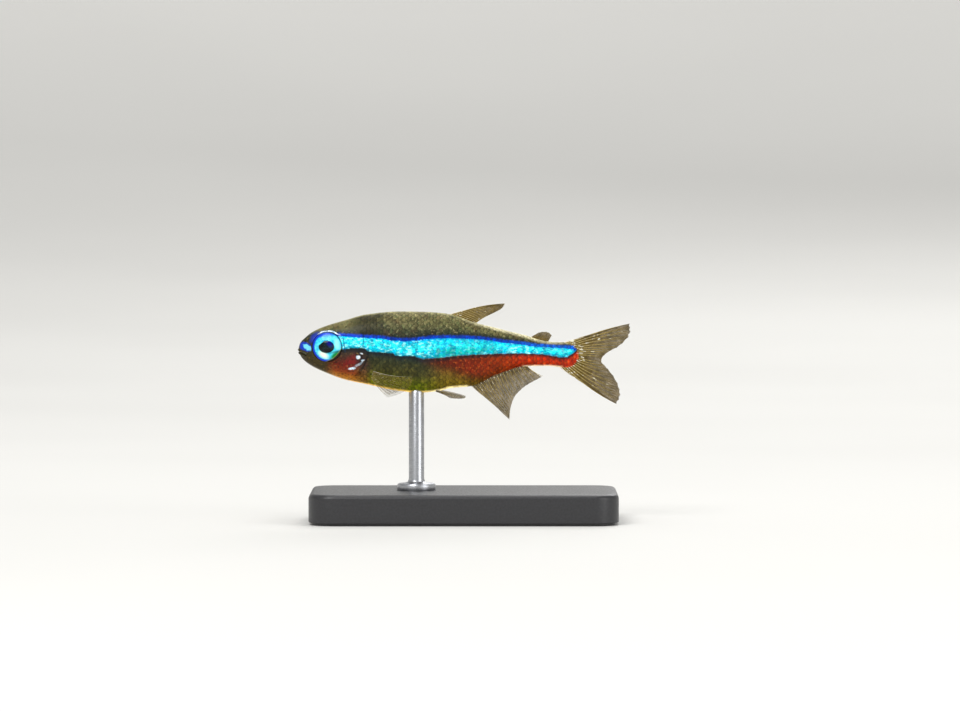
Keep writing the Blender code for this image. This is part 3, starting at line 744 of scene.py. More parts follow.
def paint_stripe(at, body):
    """(body, core, rim): from the orbit to the tail fin, a bright core under a deep blue rim."""
    within = at.along.slope(2.6, 3.0) * at.wavy_along.slope(21.88, 21.74) * at.outside_orbit(1.17)
    core = at.stripe_share.slope(0.0, 0.08) * at.over.slope(-0.08, -0.17) * within
    rim = at.over.slope(-0.24, -0.10) * at.over.slope(0.20, 0.03) * within
    below = at.under.slope(-0.1, 0.02) * at.under.slope(0.32, 0.10)
    above = at.over.slope(-0.10, 0.0) * at.over.slope(0.45, 0.12)
    shadow = at.nodes.larger(below, above) * within
    body = (shadow * 0.5).mix(body, srgb(16, 26, 36))

    blue = at.along.slope(15.0, 18.5, 0.0, 0.6).mix(colours().stripe_edge, srgb(20, 110, 224))
    blue = at.mottle(blue, srgb(14, 34, 104), 5.0, 0.42, 0.62, at.along.slope(15.0, 18.0, 0.6, 0.12), 2.0)
    body = rim.mix(body, blue)
    tip = (at.stripe_share * 0.9 + at.wavy_along).slope(21.75, 22.05)
    body = core.mix(body, tip.mix(stripe_core(at), colours().stripe_edge))

    # Dark seams across the stripe at the gill cover's edge and behind the orbit
    seams = blob(at.along, at.wavy_up, (5.10, 0.80), (0.05, 0.42), 0, 0.6)
    seams = seams + blob(at.along, at.wavy_up, (3.60, 0.70), (0.05, 0.50), 8, 0.6)
    return (seams * 0.7).mix(body, srgb(6, 74, 128)), core, rim


def paint_snout(at, body):
    """(body, core): the blue wedge, its tip ahead, and the haze over the front of the orbit."""
    clear = at.outside_orbit(1.26) * abs(at.out).slope(0.14, 0.32)
    wedge = at.blob((0.60, 0.44), (0.54, 0.32), -21, 0.18) * clear
    body = wedge.mix(body, srgb(24, 60, 186))
    core = at.blob((0.74, 0.39), (0.38, 0.18), -28, 0.30) * clear
    body = core.mix(body, srgb(120, 222, 246))
    haze = at.blob((1.32, 1.18), (0.24, 0.44), -42, 0.6) * 0.75
    return haze.mix(body, srgb(34, 58, 178)), core


def paint_gill_cover(at, body):
    """(body, mask of the painted highlights): painted shade in the gill opening, and painted highlights:
    silvery flecks beside it where the cover's edge catches the light, and a silvery arc over the orbit where
    its rim catches the light.
    """
    # Painted shade: a dark line in the gill opening, where the gap behind the cover lies in shade
    opening = abs(at.along - at.nodes.line(at.up, sorted(GILL_LINE.items())) - 0.06)
    opening = opening.slope(0.12, 0.02) * at.up.slope(0.45, 0.1) * at.up.slope(-2.1, -1.0, 0.0, 0.65)
    body = opening.mix(body, srgb(14, 20, 20))

    outer, inner = (
        blob(at.wavy_along, at.up, (2.37, 0.17), (radius, radius), 0, 0.015) for radius in (1.54, 1.43)
    )
    # Painted highlight: a silvery arc over the orbit, where its rim catches the light
    brow_highlight = at.nodes.math("SUBTRACT", outer, inner, clamp=True)
    silver_highlight = brow_highlight * blob(at.wavy_along, at.up, (2.45, 1.60), (0.85, 0.45)) * 0.9
    # Painted highlights: silvery flecks along the gill cover's rear edge
    for centre, reach, turn, strength in GILL_HIGHLIGHT_FLECKS:
        highlight_fleck = at.blob(centre, reach, turn, 0.35) * strength
        silver_highlight = at.nodes.math("ADD", silver_highlight, highlight_fleck, clamp=True)
    glitter = at.nodes.noise(at.place, 9.0, 3.0).slope(0.34, 0.60)
    return silver_highlight.mix(body, glitter.mix(srgb(120, 160, 184), colours().silver_highlight)), silver_highlight


def paint_tail_root(at, body):
    """(body, specks): past the stripe the skin takes the tail fin's olive, with white specks."""
    x = (at.wavy_along - TAIL_ROOT_ALONG) / TAIL_ROOT_REACH
    y = (at.up - TAIL_ROOT_UP) / TAIL_ROOT_RISE
    root = distance(x, y).slope(0.88, 0.98) * at.along.slope(20.9, 21.2)
    body = root.mix(body, srgb(104, 84, 44))
    specks = tail_specks(at.nodes)
    return specks.mix(body, srgb(240, 240, 226)), specks


def tail_specks_tree(name):
    """White specks at the tail fin's root, for the skin and the fin alike."""
    tree, nodes, _, result = new_tree(name, "ShaderNodeTree", {}, {"Specks": "Float"})
    place, along, _, up = nodes.place()
    specks = 0.0
    for centre, reach, turn in TAIL_SPECKS:
        specks = nodes.math("ADD", blob(along, up, centre, reach, turn, 0.4), specks, clamp=True)
    grain = nodes.noise(place, 9.0, 2.0, (1.0, 1.0, 1.8)).slope(0.42, 0.52)
    nodes.fill(result, {"Specks": specks * grain})
    return tree


def tail_specks(nodes):
    return nodes.group(shared(bpy.data.node_groups, "Tail specks", tail_specks_tree))["Specks"]


def markings_tree(name):
    """The fish's colour by its place, how far it shines as the stripe does, and its glow."""
    outputs = {"Colour": "Color", "Stripe": "Float", "Glow": "Float"}
    tree, nodes, given, result = new_tree(name, "ShaderNodeTree", {"Tone": "Float"}, outputs)
    at = SkinPlace(nodes)
    body = body_colour(at)
    body, back_highlight = paint_back_highlight(at, body)
    body, glow = paint_belly_highlight(at, body)
    body, core, rim = paint_stripe(at, body)
    body, snout_core = paint_snout(at, body)
    body, silver_highlight = paint_gill_cover(at, body)
    body, specks = paint_tail_root(at, body)

    # Each scale is a little lighter or darker than the next
    light = {0: body, "Scale": given["Tone"].slope(0.0, 1.0, 0.74, 1.26)}
    shine = nodes.math("ADD", rim * 0.3, core, clamp=True)
    shine = nodes.math("ADD", nodes.larger(snout_core * 0.6, silver_highlight), shine, clamp=True)
    red = at.belly_share.slope(0.02, 0.2) * at.along.slope(14.0, 19.0, 0.0, 0.34)
    glowing = ((core, 0.26), (back_highlight, 0.10), (silver_highlight, 0.28), (specks, 0.31), (red, 0.4))
    for part, strength in glowing:
        glow = nodes.larger(glow, part * strength)
    colour_out = nodes.value("ShaderNodeVectorMath", light, operation="SCALE")
    nodes.fill(result, {"Colour": colour_out, "Stripe": shine, "Glow": glow})
    return tree


def markings(nodes, tone):
    return nodes.group(shared(bpy.data.node_groups, "Tetra markings", markings_tree), tone=tone)


# Materials


def stripe_shine(marks):
    """The inputs that skin and scales share: metal and glow in the stripe, and a low sheen."""
    return {
        "Metallic": marks["Stripe"] * 0.3,
        "Emission Color": marks["Glow"].mix(BLACK, marks["Colour"]),
        "Emission Strength": 0.8,
        "Specular IOR Level": 0.10,
    }


def skin_material(name):
    """Wet, smooth skin with fine pores."""
    made, nodes, surface = new_material(name)
    marks = markings(nodes, 0.5)
    pores = nodes.noise(nodes.place()[0], 22.0, 3.0)
    nodes.fill(surface, stripe_shine(marks))
    nodes.fill(surface, {
        "Base Color": marks["Colour"],
        "Roughness": pores.slope(0.3, 0.7, 0.30, 0.42),
        "Normal": nodes.relief(pores, 0.25, 0.02),
        "Coat Weight": 0.04,
        "Coat Roughness": 0.12,
    })
    return made


def scale_material(name):
    """Scales carry the skin's markings, a dark rim each, and fine growth rings."""
    made, nodes, surface = new_material(name)
    rim = nodes.attribute("rim")
    marks = markings(nodes, nodes.attribute("tone"))
    stripe, painted = marks["Stripe"], marks["Colour"]
    dark = nodes.mix(0.5, painted, stripe.mix(srgb(20, 26, 20), srgb(0, 90, 150)))
    painted = (rim.slope(0.72, 0.98) * stripe.slope(0.0, 1.0, 0.7, 0.25)).mix(painted, dark)
    dots = nodes.noise(nodes.place()[0], 15.0, 2.0).slope(0.52, 0.62, 0.0, 0.5)
    dots = dots * rim.slope(0.35, 0.8) * stripe.slope(0.6, 0.1)
    rings = nodes.math("SINE", rim * 70.0)
    nodes.fill(surface, stripe_shine(marks))
    nodes.fill(surface, {
        "Base Color": dots.mix(painted, srgb(24, 26, 18)),
        "Roughness": stripe.slope(0.0, 1.0, 0.42, 0.30),
        "Normal": nodes.relief(rings, 0.2, 0.003),
        "Coat Weight": 0.05,
        "Coat Roughness": 0.15,
    })
    return made


def eye_material(name):
    """Cyan iris in a blue ring, green low at the rear, pale low in front, and a black pupil. Low at the rear,
    the green, a dark line and a dark crescent are painted shade of the orbit's rim.
    """
    made, nodes, surface = new_material(name)
    place, along, _, up = nodes.place()
    ahead, above = along - EYE_ALONG, up - EYE_UP
    radius = distance(ahead, above)
    turn = nodes.math("ARCTAN2", above, ahead)
    round_eye = nodes.value("ShaderNodeCombineXYZ", {0: turn * 5.0, 1: radius})
    fibres = nodes.noise(round_eye, 1.6, 3.0)
    cloud = nodes.noise(place, 2.4, 3.0)
    wobble = cloud - 0.5
    front = (ahead * -0.75 - above * 0.35).slope(-0.30, 0.20)
    iris = cloud.slope(0.35, 0.65).mix(colours().iris, srgb(20, 184, 226))
    shaded_rim_crescent = distance(ahead + 0.664, above - 0.747) + wobble * 0.10
    layers = (
        (fibres.slope(0.45, 0.7, 0.0, 0.40), srgb(0, 104, 186)),
        ((front * 0.18 + above).slope(0.76, 1.04), srgb(14, 70, 206)),
        (blob(along, up, (3.06, 0.66), (0.20, 0.42), 12, 0.7) * 0.7, srgb(168, 252, 250)),
        # Painted shade: green low at the rear of the iris and a dark line across it, where the orbit's rim
        # shades the eye
        (blob(along, up, (2.92, -0.24), (0.44, 0.22), 42, 0.5), srgb(8, 128, 56)),
        (blob(along, up, (2.95, 0.05), (0.62, 0.07), 10, 0.8) * 0.6, srgb(6, 44, 52)),
        (blob(along, up, (2.00, -0.18), (0.36, 0.20), -32, 0.7) * 0.95, srgb(246, 254, 226)),
        (radius.slope(0.93, 1.03) * front, srgb(16, 60, 196)),
        (radius.slope(1.06, 1.12, 0.0, 0.7) * (1.0 - front), srgb(4, 84, 130)),
        # The orbit's rim painted over the eye's lower rear: a gold edge, then a crescent darkened as painted
        # shade
        (shaded_rim_crescent.slope(1.91, 1.96, 0.0, 0.8), srgb(120, 124, 50)),
        (shaded_rim_crescent.slope(1.95, 2.01), srgb(34, 26, 18)),
    )
    for mask, shade in layers:
        iris = mask.mix(iris, shade)

    pupil_radius = sizes().pupil_radius
    half_axes = (pupil_radius * PUPIL_LONG, pupil_radius * PUPIL_HIGH)
    pupil = nodes.math(
        "MULTIPLY", blob(along, up, PUPIL_CENTRE, half_axes, 0, 0.05), wobble * 0.16 + 1.0, clamp=True
    )
    corner = along * -0.619 + (up * 0.786 + 0.644)
    pupil = pupil * corner.slope(0.12, 0.05)
    glint = blob(along, up, (2.48, 0.70), (0.26, 0.18), -50, 0.8)
    nodes.fill(surface, {
        "Base Color": pupil.mix(iris, glint.mix(srgb(2, 3, 6), srgb(6, 12, 124))),
        "Roughness": pupil.slope(0.0, 1.0, 0.24, 0.06),
        "Emission Color": pupil.mix(iris, BLACK),
        "Emission Strength": 0.12,
        "Specular IOR Level": 0.15,
        "Coat Weight": 0.40,
        "Coat Roughness": 0.02,
        "Coat IOR": 1.34,
    })
    return made


def fin_web_material(name):
    """Clear olive web, clearer towards its margin."""
    made, nodes, surface = new_material(name)
    cloud = nodes.noise(nodes.place()[0], 2.2, 3.0)
    tint = cloud.slope(0.3, 0.7).mix(colours().fin_web, srgb(78, 61, 6))
    clear = nodes.attribute("reach").slope(0.0, 0.9, 0.92, 0.66) * cloud.slope(0.2, 0.8, 0.85, 1.15)
    nodes.fill(surface, {
        "Base Color": tail_specks(nodes).mix(tint, srgb(246, 242, 220)),
        "Alpha": clear * nodes.attribute("fin_tint"),
        "Roughness": 0.35,
        "Specular IOR Level": 0.25,
    })
    return made


def fin_ray_material(name):
    """Pale rays with fine joints, dark pigment dots and white flecks, the leading ones cream."""
    made, nodes, surface = new_material(name)
    place, reach = nodes.place()[0], nodes.attribute("reach")
    dots = nodes.noise(place, 7.0, 2.0).slope(0.40, 0.55, 0.0, 0.45)
    ray = dots.mix(colours().fin_ray, srgb(104, 92, 54))
    joints = nodes.math("FRACT", reach * 26.0).slope(0.0, 0.25)
    ray = joints.slope(0.0, 1.0, 0.25, 0.0).mix(ray, srgb(90, 80, 56))
    ray = nodes.attribute("lead").mix(ray, srgb(236, 226, 204))
    flecks = nodes.noise(place, 4.0, 2.0, (0.6, 1.0, 1.6)) - reach.slope(0.0, 0.3, 0.0, 0.09)
    flecks = nodes.larger(flecks.slope(0.54, 0.58), tail_specks(nodes))
    nodes.fill(surface, {
        "Base Color": flecks.mix(ray, srgb(246, 242, 220)),
        "Alpha": reach.slope(0.35, 1.0, 0.95, 0.65) * nodes.attribute("fin_tint"),
        "Roughness": 0.4,
    })
    return made


def base_material(name):
    """Satin black board with a very fine grain."""
    made, nodes, surface = new_material(name)
    grain = nodes.noise(nodes.place()[0], 6.0, 4.0)
    nodes.fill(surface, {
        "Base Color": grain.slope(0.3, 0.7).mix(colours().base, srgb(46, 46, 49)),
        "Roughness": grain.slope(0.3, 0.7, 0.34, 0.46),
        "Normal": nodes.relief(grain, 0.12, 0.02),
    })
    return made


def rod_material(name):
    """Turned steel with fine rings round it."""
    made, nodes, surface = new_material(name)
    rings = nodes.noise(nodes.place()[0], 9.0, 3.0, (0.2, 0.2, 3.0))
    nodes.fill(surface, {
        "Base Color": rings.slope(0.3, 0.7).mix(colours().rod, srgb(160, 162, 167)),
        "Roughness": rings.slope(0.3, 0.7, 0.26, 0.40),
        "Metallic": 1.0,
    })
    return made


def floor_material(name):
    """Pale floor, faintly clouded, that lights up far away as a backdrop does."""
    made, nodes, surface = new_material(name)
    place = nodes.place()[0]
    cloud = nodes.noise(place, 0.01, 2.0)
    away = nodes.value("ShaderNodeVectorMath", {0: place}, "Value", operation="LENGTH")
    nodes.fill(surface, {
        "Base Color": cloud.slope(0.3, 0.7).mix(colours().floor, srgb(222, 221, 217)),
        "Emission Color": away.slope(260.0, 900.0).mix(BLACK, colours().floor),
        "Emission Strength": 0.42,
        "Roughness": 0.8,
    })
    return made


# Skin


def skin_details(along, out, up, angle):
    """(push along the normal, push towards the middle plane) of the head's features."""
    side = np.abs(out) > 0.02
    from_eye = np.hypot(along - EYE_ALONG, up - EYE_UP)
    inward = np.where(side, ORBIT_DEPTH * rise(from_eye, ORBIT_RADIUS + 0.03, ORBIT_RADIUS - 0.03), 0)
    push = ORBIT_RIM * bump(from_eye - ORBIT_RADIUS - 0.12, 0.07)
    push -= 0.02 * bump(from_eye - ORBIT_RADIUS - 0.30, 0.09)

    for nostril_along, nostril_up in NOSTRILS:
        away = np.hypot(along - nostril_along, up - nostril_up)
        push -= NOSTRIL_DEPTH * rise(away, NOSTRIL_RADIUS, NOSTRIL_RADIUS * 0.5)
        push += 0.015 * bump(away - NOSTRIL_RADIUS * 1.35, 0.03)

    groove = (along - cheek_line(up)) * rise(up, -1.5, -1.3) * rise(up, 1.3, 1.1)
    near = rise(up, -1.55, -1.35) * rise(up, 1.3, 1.1)
    push -= near * CHEEK_GROOVE * bump(groove, 0.05)
    push += near * 0.5 * CHEEK_GROOVE * bump(groove + 0.12, 0.07)
    push = np.where(side, push, 0)

    turn = np.arctan2(np.abs(out), MOUTH_CENTRE - along)
    over = up - (MOUTH_UP - MOUTH_DROP * np.clip(turn / MOUTH_TURN, 0, 1) ** 1.5)
    in_mouth = rise(turn, MOUTH_TURN * 1.03, MOUTH_TURN * 0.9) * (along < 1.2)
    push += in_mouth * LIP_HEIGHT * bump(np.abs(over) - LIP_OFFSET, 0.075)
    push -= in_mouth * SLIT_DEPTH * bump(over, SLIT_WIDTH)

    opening = gill_line(up)
    past = along - opening
    cover = rise(along, GILL_FLARE_START, opening) ** 2 * rise(past, 0.05, -0.02) * np.abs(np.sin(angle))
    slit = rise(up, -2.7, -1.2) * 0.05 * bump(past - 0.09, 0.06)
    push += rise(up, 1.9, 0.6) * rise(up, -3.2, -2.4) * (GILL_FLARE * cover - slit)
    return push, inward


def skin_grid():
    """Rings of skin points in millimetres, and the angle of each round its ring."""
    head = np.linspace(0.0, math.sqrt(HEAD_LENGTH), HEAD_RINGS + 1)[1:] ** 2
    trunk = np.linspace(HEAD_LENGTH, TAIL_ROOT_ALONG + TAIL_ROOT_REACH, TRUNK_RINGS + 1)[1:]
    along = np.concatenate([head, trunk])[:, None]
    angle = np.linspace(0, 2 * math.pi, RING_POINTS, endpoint=False)[None, :]
    return np.broadcast_arrays(along, *section(along, angle), angle)


def grid_normals(points):
    """Outward normals of a grid of rings."""
    ahead = np.gradient(points, axis=0)
    around = np.roll(points, -1, axis=1) - np.roll(points, 1, axis=1)
    normal = np.cross(ahead, around)
    normal /= np.linalg.norm(normal, axis=-1, keepdims=True) + 1e-12
    return normal * np.sign((normal[..., 1] * points[..., 1]).sum())


def round_tail(along, out, up):
    """Pulls the last rings in to the tail root's rounded end."""
    height = (up - TAIL_ROOT_UP) / TAIL_ROOT_RISE
    limit = TAIL_ROOT_ALONG + TAIL_ROOT_REACH * np.sqrt(np.clip(1 - height**2, 0.02, 1))
    start = TAIL_ROOT_ALONG - 1.0
    share = np.clip((along - start) / (TAIL_ROOT_REACH + 1.0), 0, 1)
    eased = np.where(along > start, start + (limit - start) * share, along)
    return eased, out * (1 - 0.86 * rise(share, 0.0, 1.0)), up


def make_skin():
    along, out, up, angle = skin_grid()
    push, inward = skin_details(along, out, up, angle)
    points = np.stack([along, out, up], axis=-1)
    points = points + grid_normals(points) * (push - SKIN_INSET)[..., None]
    points[..., 1] -= np.sign(out) * inward
    points = np.stack(round_tail(*np.moveaxis(points, -1, 0)), axis=-1)
    tip, end = (0.02, 0.0, 0.20), points[-1].mean(axis=0)
    every = np.vstack([tip, points.reshape(-1, 3), end])
    material = shared(bpy.data.materials, "tetra_skin", skin_material)
    skin = new_piece("skin", fish_to_world(*every.T), closed_faces(*out.shape), material)
    face_outwards(skin)
    return skin


# Scales


def scale_shape(material):
    """One scale, 1 long and 1 high: a thin closed disc with a crisp rim, its free edge at +X."""
    sides, shares, heights = 14, (0.45, 0.80, 0.96, 1.0), (0.5, 0.49, 0.42, 0.0)
    rings = [(0.001, 0.5), *zip(shares, heights), *zip(shares[-2::-1], (-0.42, -0.49, -0.5)), (0.001, -0.5)]
    points, rims = [], []
    for share, height in rings:
        for _, _, cosine, sine in circle(sides):
            x, y = 0.5 * share * cosine, 0.5 * share * sine
            points.append((x, y * (1.0 if x > 0 else 0.9), height))
            rims.append(share)
    faces = [tuple(range(sides)), tuple(reversed(range(len(points) - sides, len(points))))]
    for a, b, c, d in tube_faces(len(rings), sides):
        faces.append((a, d, c, b))
    made = new_piece("scale_shape", points, faces, material)
    add_attribute(made.data, "rim", rims)
    add_attribute(made.data, "patch", [(x, y, 0.0) for x, y, z in points], "FLOAT_VECTOR")
    add_attribute(made.data, "lift", [z * 0.35 + max(x, 0.0) * 1.6 - 0.15 for x, y, z in points])
    return made


def scale_roots(side):
    """Place, direction, normal, size and unwrap of each scale: rows at even distances round it."""
    rng = np.random.default_rng(11 + side)
    spacing, step = sizes().scale_rows, sizes().scale_length * SCALE_STEP
    angle = np.linspace(0.02, math.pi - 0.02, 400)
    flip = np.array([1, side, 1])
    roots = []
    for column, along in enumerate(np.arange(FIRST_SCALES, LAST_SCALES, step / 2)):
        out, up = section(along, angle)
        arc = np.concatenate([[0], np.cumsum(np.hypot(np.diff(out), np.diff(up)))])
        middle = np.interp(math.pi / 2, angle, arc)
        rows = int(arc[-1] / spacing) + 2
        for row in range(-rows, rows + 1):
            place = middle + (row + 0.5 * (column % 2)) * spacing
            if not 0.12 < place < arc[-1] - 0.12:
                continue
            here = float(np.interp(place, arc, angle)) + rng.normal(0, 0.006)
            spot = along + rng.normal(0, 0.012)
            centre = np.array([spot, *section(spot, here)])
            room = 0.30 + 0.25 * rise(centre[2], -1.5, -2.4) - 0.40 * rise(centre[2], 1.6, 2.6)
            past_head = spot - gill_line(centre[2]) - room
            if past_head < 0:
                continue
            tail = np.array([spot + 0.05, *section(spot + 0.05, here)]) - centre
            around = np.array([spot, *section(spot, here + 0.01)]) - centre
            normal = np.cross(tail, around)
            normal *= math.copysign(1.0, normal[1]) / np.linalg.norm(normal)
            size = 0.78 + 0.22 * min(past_head / 2.5, 1.0)
            size *= 0.80 + 0.20 * min((LAST_SCALES - spot) / 3.0, 1.0)
            unwrapped = (spot / (LAST_SCALES + 1.0), 0.5 + 0.5 * side * place / arc[-1], 0.0)
            tail /= np.linalg.norm(tail)
            roots.append((centre * flip, tail * flip, normal * flip, size, unwrapped))
    return [np.array(values) for values in zip(*roots)]


def scale_tree(name):
    """Geometry nodes: a scale on each root, laid on the skin, joined and given its material."""
    inputs = {
        "Roots": "Geometry", "Skin": "Object", "Scale": "Object", "Length": "Float", "Height": "Float",
        "Lift": "Float", "Seed": "Int", "Finish": "Material",
    }
    tree, nodes, given, result = new_tree(name, "GeometryNodeTree", inputs, {"Scales": "Geometry"})

    def named(label, kind="FLOAT"):
        name_input = {"Name": label}
        return nodes.value("GeometryNodeInputNamedAttribute", name_input, "Attribute", data_type=kind)

    facing = nodes.value("FunctionNodeAlignRotationToVector", {
        "Vector": named("facing", "FLOAT_VECTOR")}, axis="Z")
    lying = nodes.value("FunctionNodeAlignRotationToVector", {
        "Rotation": facing, "Vector": named("tailward", "FLOAT_VECTOR")}, axis="X", pivot_axis="Z")
    shape = nodes.value("GeometryNodeObjectInfo", {"Object": given["Scale"]}, "Geometry")
    vary = nodes.value("FunctionNodeRandomValue", {
        2: 0.92, 3: 1.06, "Seed": given["Seed"]}, 1, data_type="FLOAT")
    long = given["Length"] * (named("share") * vary)
    size = nodes.value("ShaderNodeCombineXYZ", {0: long, 1: given["Height"], 2: MM})
    laid = nodes.value("GeometryNodeInstanceOnPoints", {
        "Points": given["Roots"], "Instance": shape, "Rotation": lying, "Scale": size})
    tone = nodes.value("FunctionNodeRandomValue", {"Seed": given["Seed"] + 1.0}, 1, data_type="FLOAT")
    toned = nodes.value("GeometryNodeStoreNamedAttribute", {
        "Geometry": laid, "Name": "tone", "Value": tone}, data_type="FLOAT", domain="INSTANCE")
    real = nodes.value("GeometryNodeRealizeInstances", {"Geometry": toned})
    skin = nodes.value("GeometryNodeObjectInfo", {"Object": given["Skin"]}, "Geometry")
    near = nodes.value("GeometryNodeProximity", {"Geometry": skin}, "Position", target_element="FACES")
    normal = nodes.value("GeometryNodeInputNormal")
    way = nodes.value("GeometryNodeSampleNearestSurface", {
        "Mesh": skin, "Value": normal}, data_type="FLOAT_VECTOR")
    lift = named("lift") * given["Lift"]
    off = nodes.value("ShaderNodeVectorMath", {0: way, "Scale": lift}, operation="SCALE")
    where = nodes.value("ShaderNodeVectorMath", {0: near, 1: off}, operation="ADD")
    moved = nodes.value("GeometryNodeSetPosition", {"Geometry": real, "Position": where})
    nodes.fill(result, {0: nodes.value("GeometryNodeSetMaterial", {
        "Geometry": moved, "Material": given["Finish"]})})
    return tree


def make_scales(skin, name, side):
    """The scales of one side, from the gill opening to the tail fin."""
    centres, tails, normals, shares, unwrapped = scale_roots(side)
    finish = shared(bpy.data.materials, "tetra_scales", scale_material)
    shape = scale_shape(finish)
    mesh = bpy.data.meshes.new(name)
    mesh.from_pydata([tuple(p) for p in fish_to_world(*centres.T)], [], [])
    for label, values in (("tailward", tails), ("facing", normals), ("unwrapped", unwrapped)):
        add_attribute(mesh, label, values, "FLOAT_VECTOR")
    add_attribute(mesh, "share", shares)
    z = sizes()
    scales = grow(
        in_scene(name, mesh), shared(bpy.data.node_groups, "Lay scales", scale_tree), skin=skin,
        scale=shape, length=z.scale_length * MM, height=z.scale_rows * 1.35 * MM,
        lift=z.scale_lift * MM, seed=5 + side, finish=finish,
    )
    bpy.data.objects.remove(shape, do_unlink=True)
    unwrap_scales(scales.data)
    return scales


def unwrap_scales(mesh):
    """Gives each scale a small patch of its own at its root's place on the skin's unwrap."""
    flat = read_vectors(mesh, "unwrapped") + SCALE_PATCH * read_vectors(mesh, "patch")
    corners = np.zeros(len(mesh.loops), np.int32)
    mesh.loops.foreach_get("vertex_index", corners)
    layer = mesh.uv_layers.new(name="OFBake")
    layer.data.foreach_set("uv", flat[corners, :2].astype(np.float32).ravel())
    for label in ("tailward", "facing", "unwrapped", "patch", "share", "lift"):
        if label in mesh.attributes:
            mesh.attributes.remove(mesh.attributes[label])


# Eyes


def eye_profile(radius, pupil):
    """(radius, height) of each ring, from the back of the eye to the pupil's top."""
    profile = [(0.90 * radius, 0.72), (radius, 0.82), (radius, EYE_RIM - 0.02)]
    for share in (0.99, 0.96, 0.91, 0.84, 0.76, 0.68, 0.60, 0.54):
        profile.append((radius * share, EYE_RIM + EYE_CAP * (1 - share * share)))
    shoulder = profile[-1][1]
    profile += [(pupil * 1.01, shoulder + 0.01), (pupil * 0.985, shoulder + 0.03)]
    for turn in np.radians((20, 38, 56, 72, 84)):
        profile.append((pupil * math.cos(turn), shoulder + 0.02 + PUPIL_BULGE * math.sin(turn)))
    return profile


def make_eye(name, side):
    """A low dome with a slightly bulging, oval pupil in it."""
    radius, pupil = sizes().eye_radius, sizes().pupil_radius
    profile = eye_profile(radius, pupil)
    shift_along, shift_up = PUPIL_CENTRE[0] - EYE_ALONG, PUPIL_CENTRE[1] - EYE_UP
    points = [(0.0, 0.0, profile[0][1])]
    for reach, height in profile:
        oval = float(rise(reach, radius * 0.85, pupil))
        long, high = 1 + oval * (PUPIL_LONG - 1), 1 + oval * (PUPIL_HIGH - 1)
        for _, _, cosine, sine in circle(EYE_SEGMENTS):
            x, y = reach * cosine * long, reach * sine * high
            points.append((x + oval * shift_along, y + oval * shift_up, height))
    points.append((shift_along, shift_up, profile[-1][1] + 0.004))
    x, y, height = np.array(points).T
    tilted = height - EYE_RIM
    placed = fish_to_world(
        EYE_ALONG + x - tilted * math.sin(EYE_FORWARD),
        side * (height + x * math.tan(EYE_FORWARD) - y * math.tan(EYE_UPWARD)),
        EYE_UP + y + tilted * math.sin(EYE_UPWARD),
    )
    material = shared(bpy.data.materials, "tetra_eye", eye_material)
    eye = new_piece(name, placed, closed_faces(len(profile), EYE_SEGMENTS), material)
    face_outwards(eye)
    return eye


# Fins


def curve_through(*points):
    """A function of 0 to 1 along a smooth curve through (along, up) points."""
    shares = np.linspace(0, 1, len(points))
    along, up = (smooth_line(zip(shares, column)) for column in zip(*points))
    return lambda share: np.array([float(along(share)), float(up(share))])


def fin_lines(root, tip, rays, short, bow, rows):
    """Points from root to tip of each ray, in the fin's plane. The first rays may be short."""
    shares = np.linspace(0, 1, rows + 1)[:, None]
    lines = []
    for i in range(rays):
        start = np.array(root(i / (rays - 1)), float)
        end = tip(max(i - len(short), 0) / (rays - 1 - len(short)))
        if i < len(short):
            end = start + (end - start) * short[i]
        run = end - start
        sideways = np.array([run[1], -run[0]]) * bow
        lines.append(start + run * shares + sideways * 4 * shares * (1 - shares))
    return np.array(lines)


def web_columns(lines):
    """Points of the web from root to margin, on each ray and between, where the margin is notched."""
    rays, rows, _ = lines.shape
    steps = np.arange(rows)
    columns = []
    for before, after in zip(lines, lines[1:]):
        for t in np.arange(WEB_COLUMNS) / WEB_COLUMNS:
            kept = steps * (1 - WEB_NOTCH * 4 * t * (1 - t))
            first, second = (
                np.stack([np.interp(kept, steps, ray[:, d]) for d in (0, 1)], -1) for ray in (before, after)
            )
            columns.append(first * (1 - t) + second * t)
    columns.append(lines[-1])
    return np.array(columns)


def fin_web(name, lines, to_world, material):
    """The web between the rays: a thin closed sheet."""
    grid = web_columns(lines)
    columns, rows, _ = grid.shape
    shares = np.linspace(0, 1, rows)
    half = sizes().web_thickness / 2 * (1.25 - 0.85 * shares)[None, :]
    sheets = [to_world(grid[..., 0], grid[..., 1], face * half, shares[None, :]) for face in (-1, 1)]
    number = np.arange(columns * rows).reshape(columns, rows)
    corners = (number[:-1, :-1], number[1:, :-1], number[1:, 1:], number[:-1, 1:])
    front = np.stack([corner.ravel() for corner in corners], axis=-1)
    rim = [*number[:, 0], *number[-1, 1:], *number[-2::-1, -1], *number[0, -2:0:-1]]
    edge = [(a, number.size + a, number.size + b, b) for a, b in zip(rim, rim[1:] + rim[:1])]
    faces = [*front, *(front[:, ::-1] + number.size), *edge]
    web = new_piece(name, np.vstack([sheet.reshape(-1, 3) for sheet in sheets]), faces, material)
    add_attribute(web.data, "reach", np.tile(shares, 2 * columns))
    face_outwards(web)
    return web


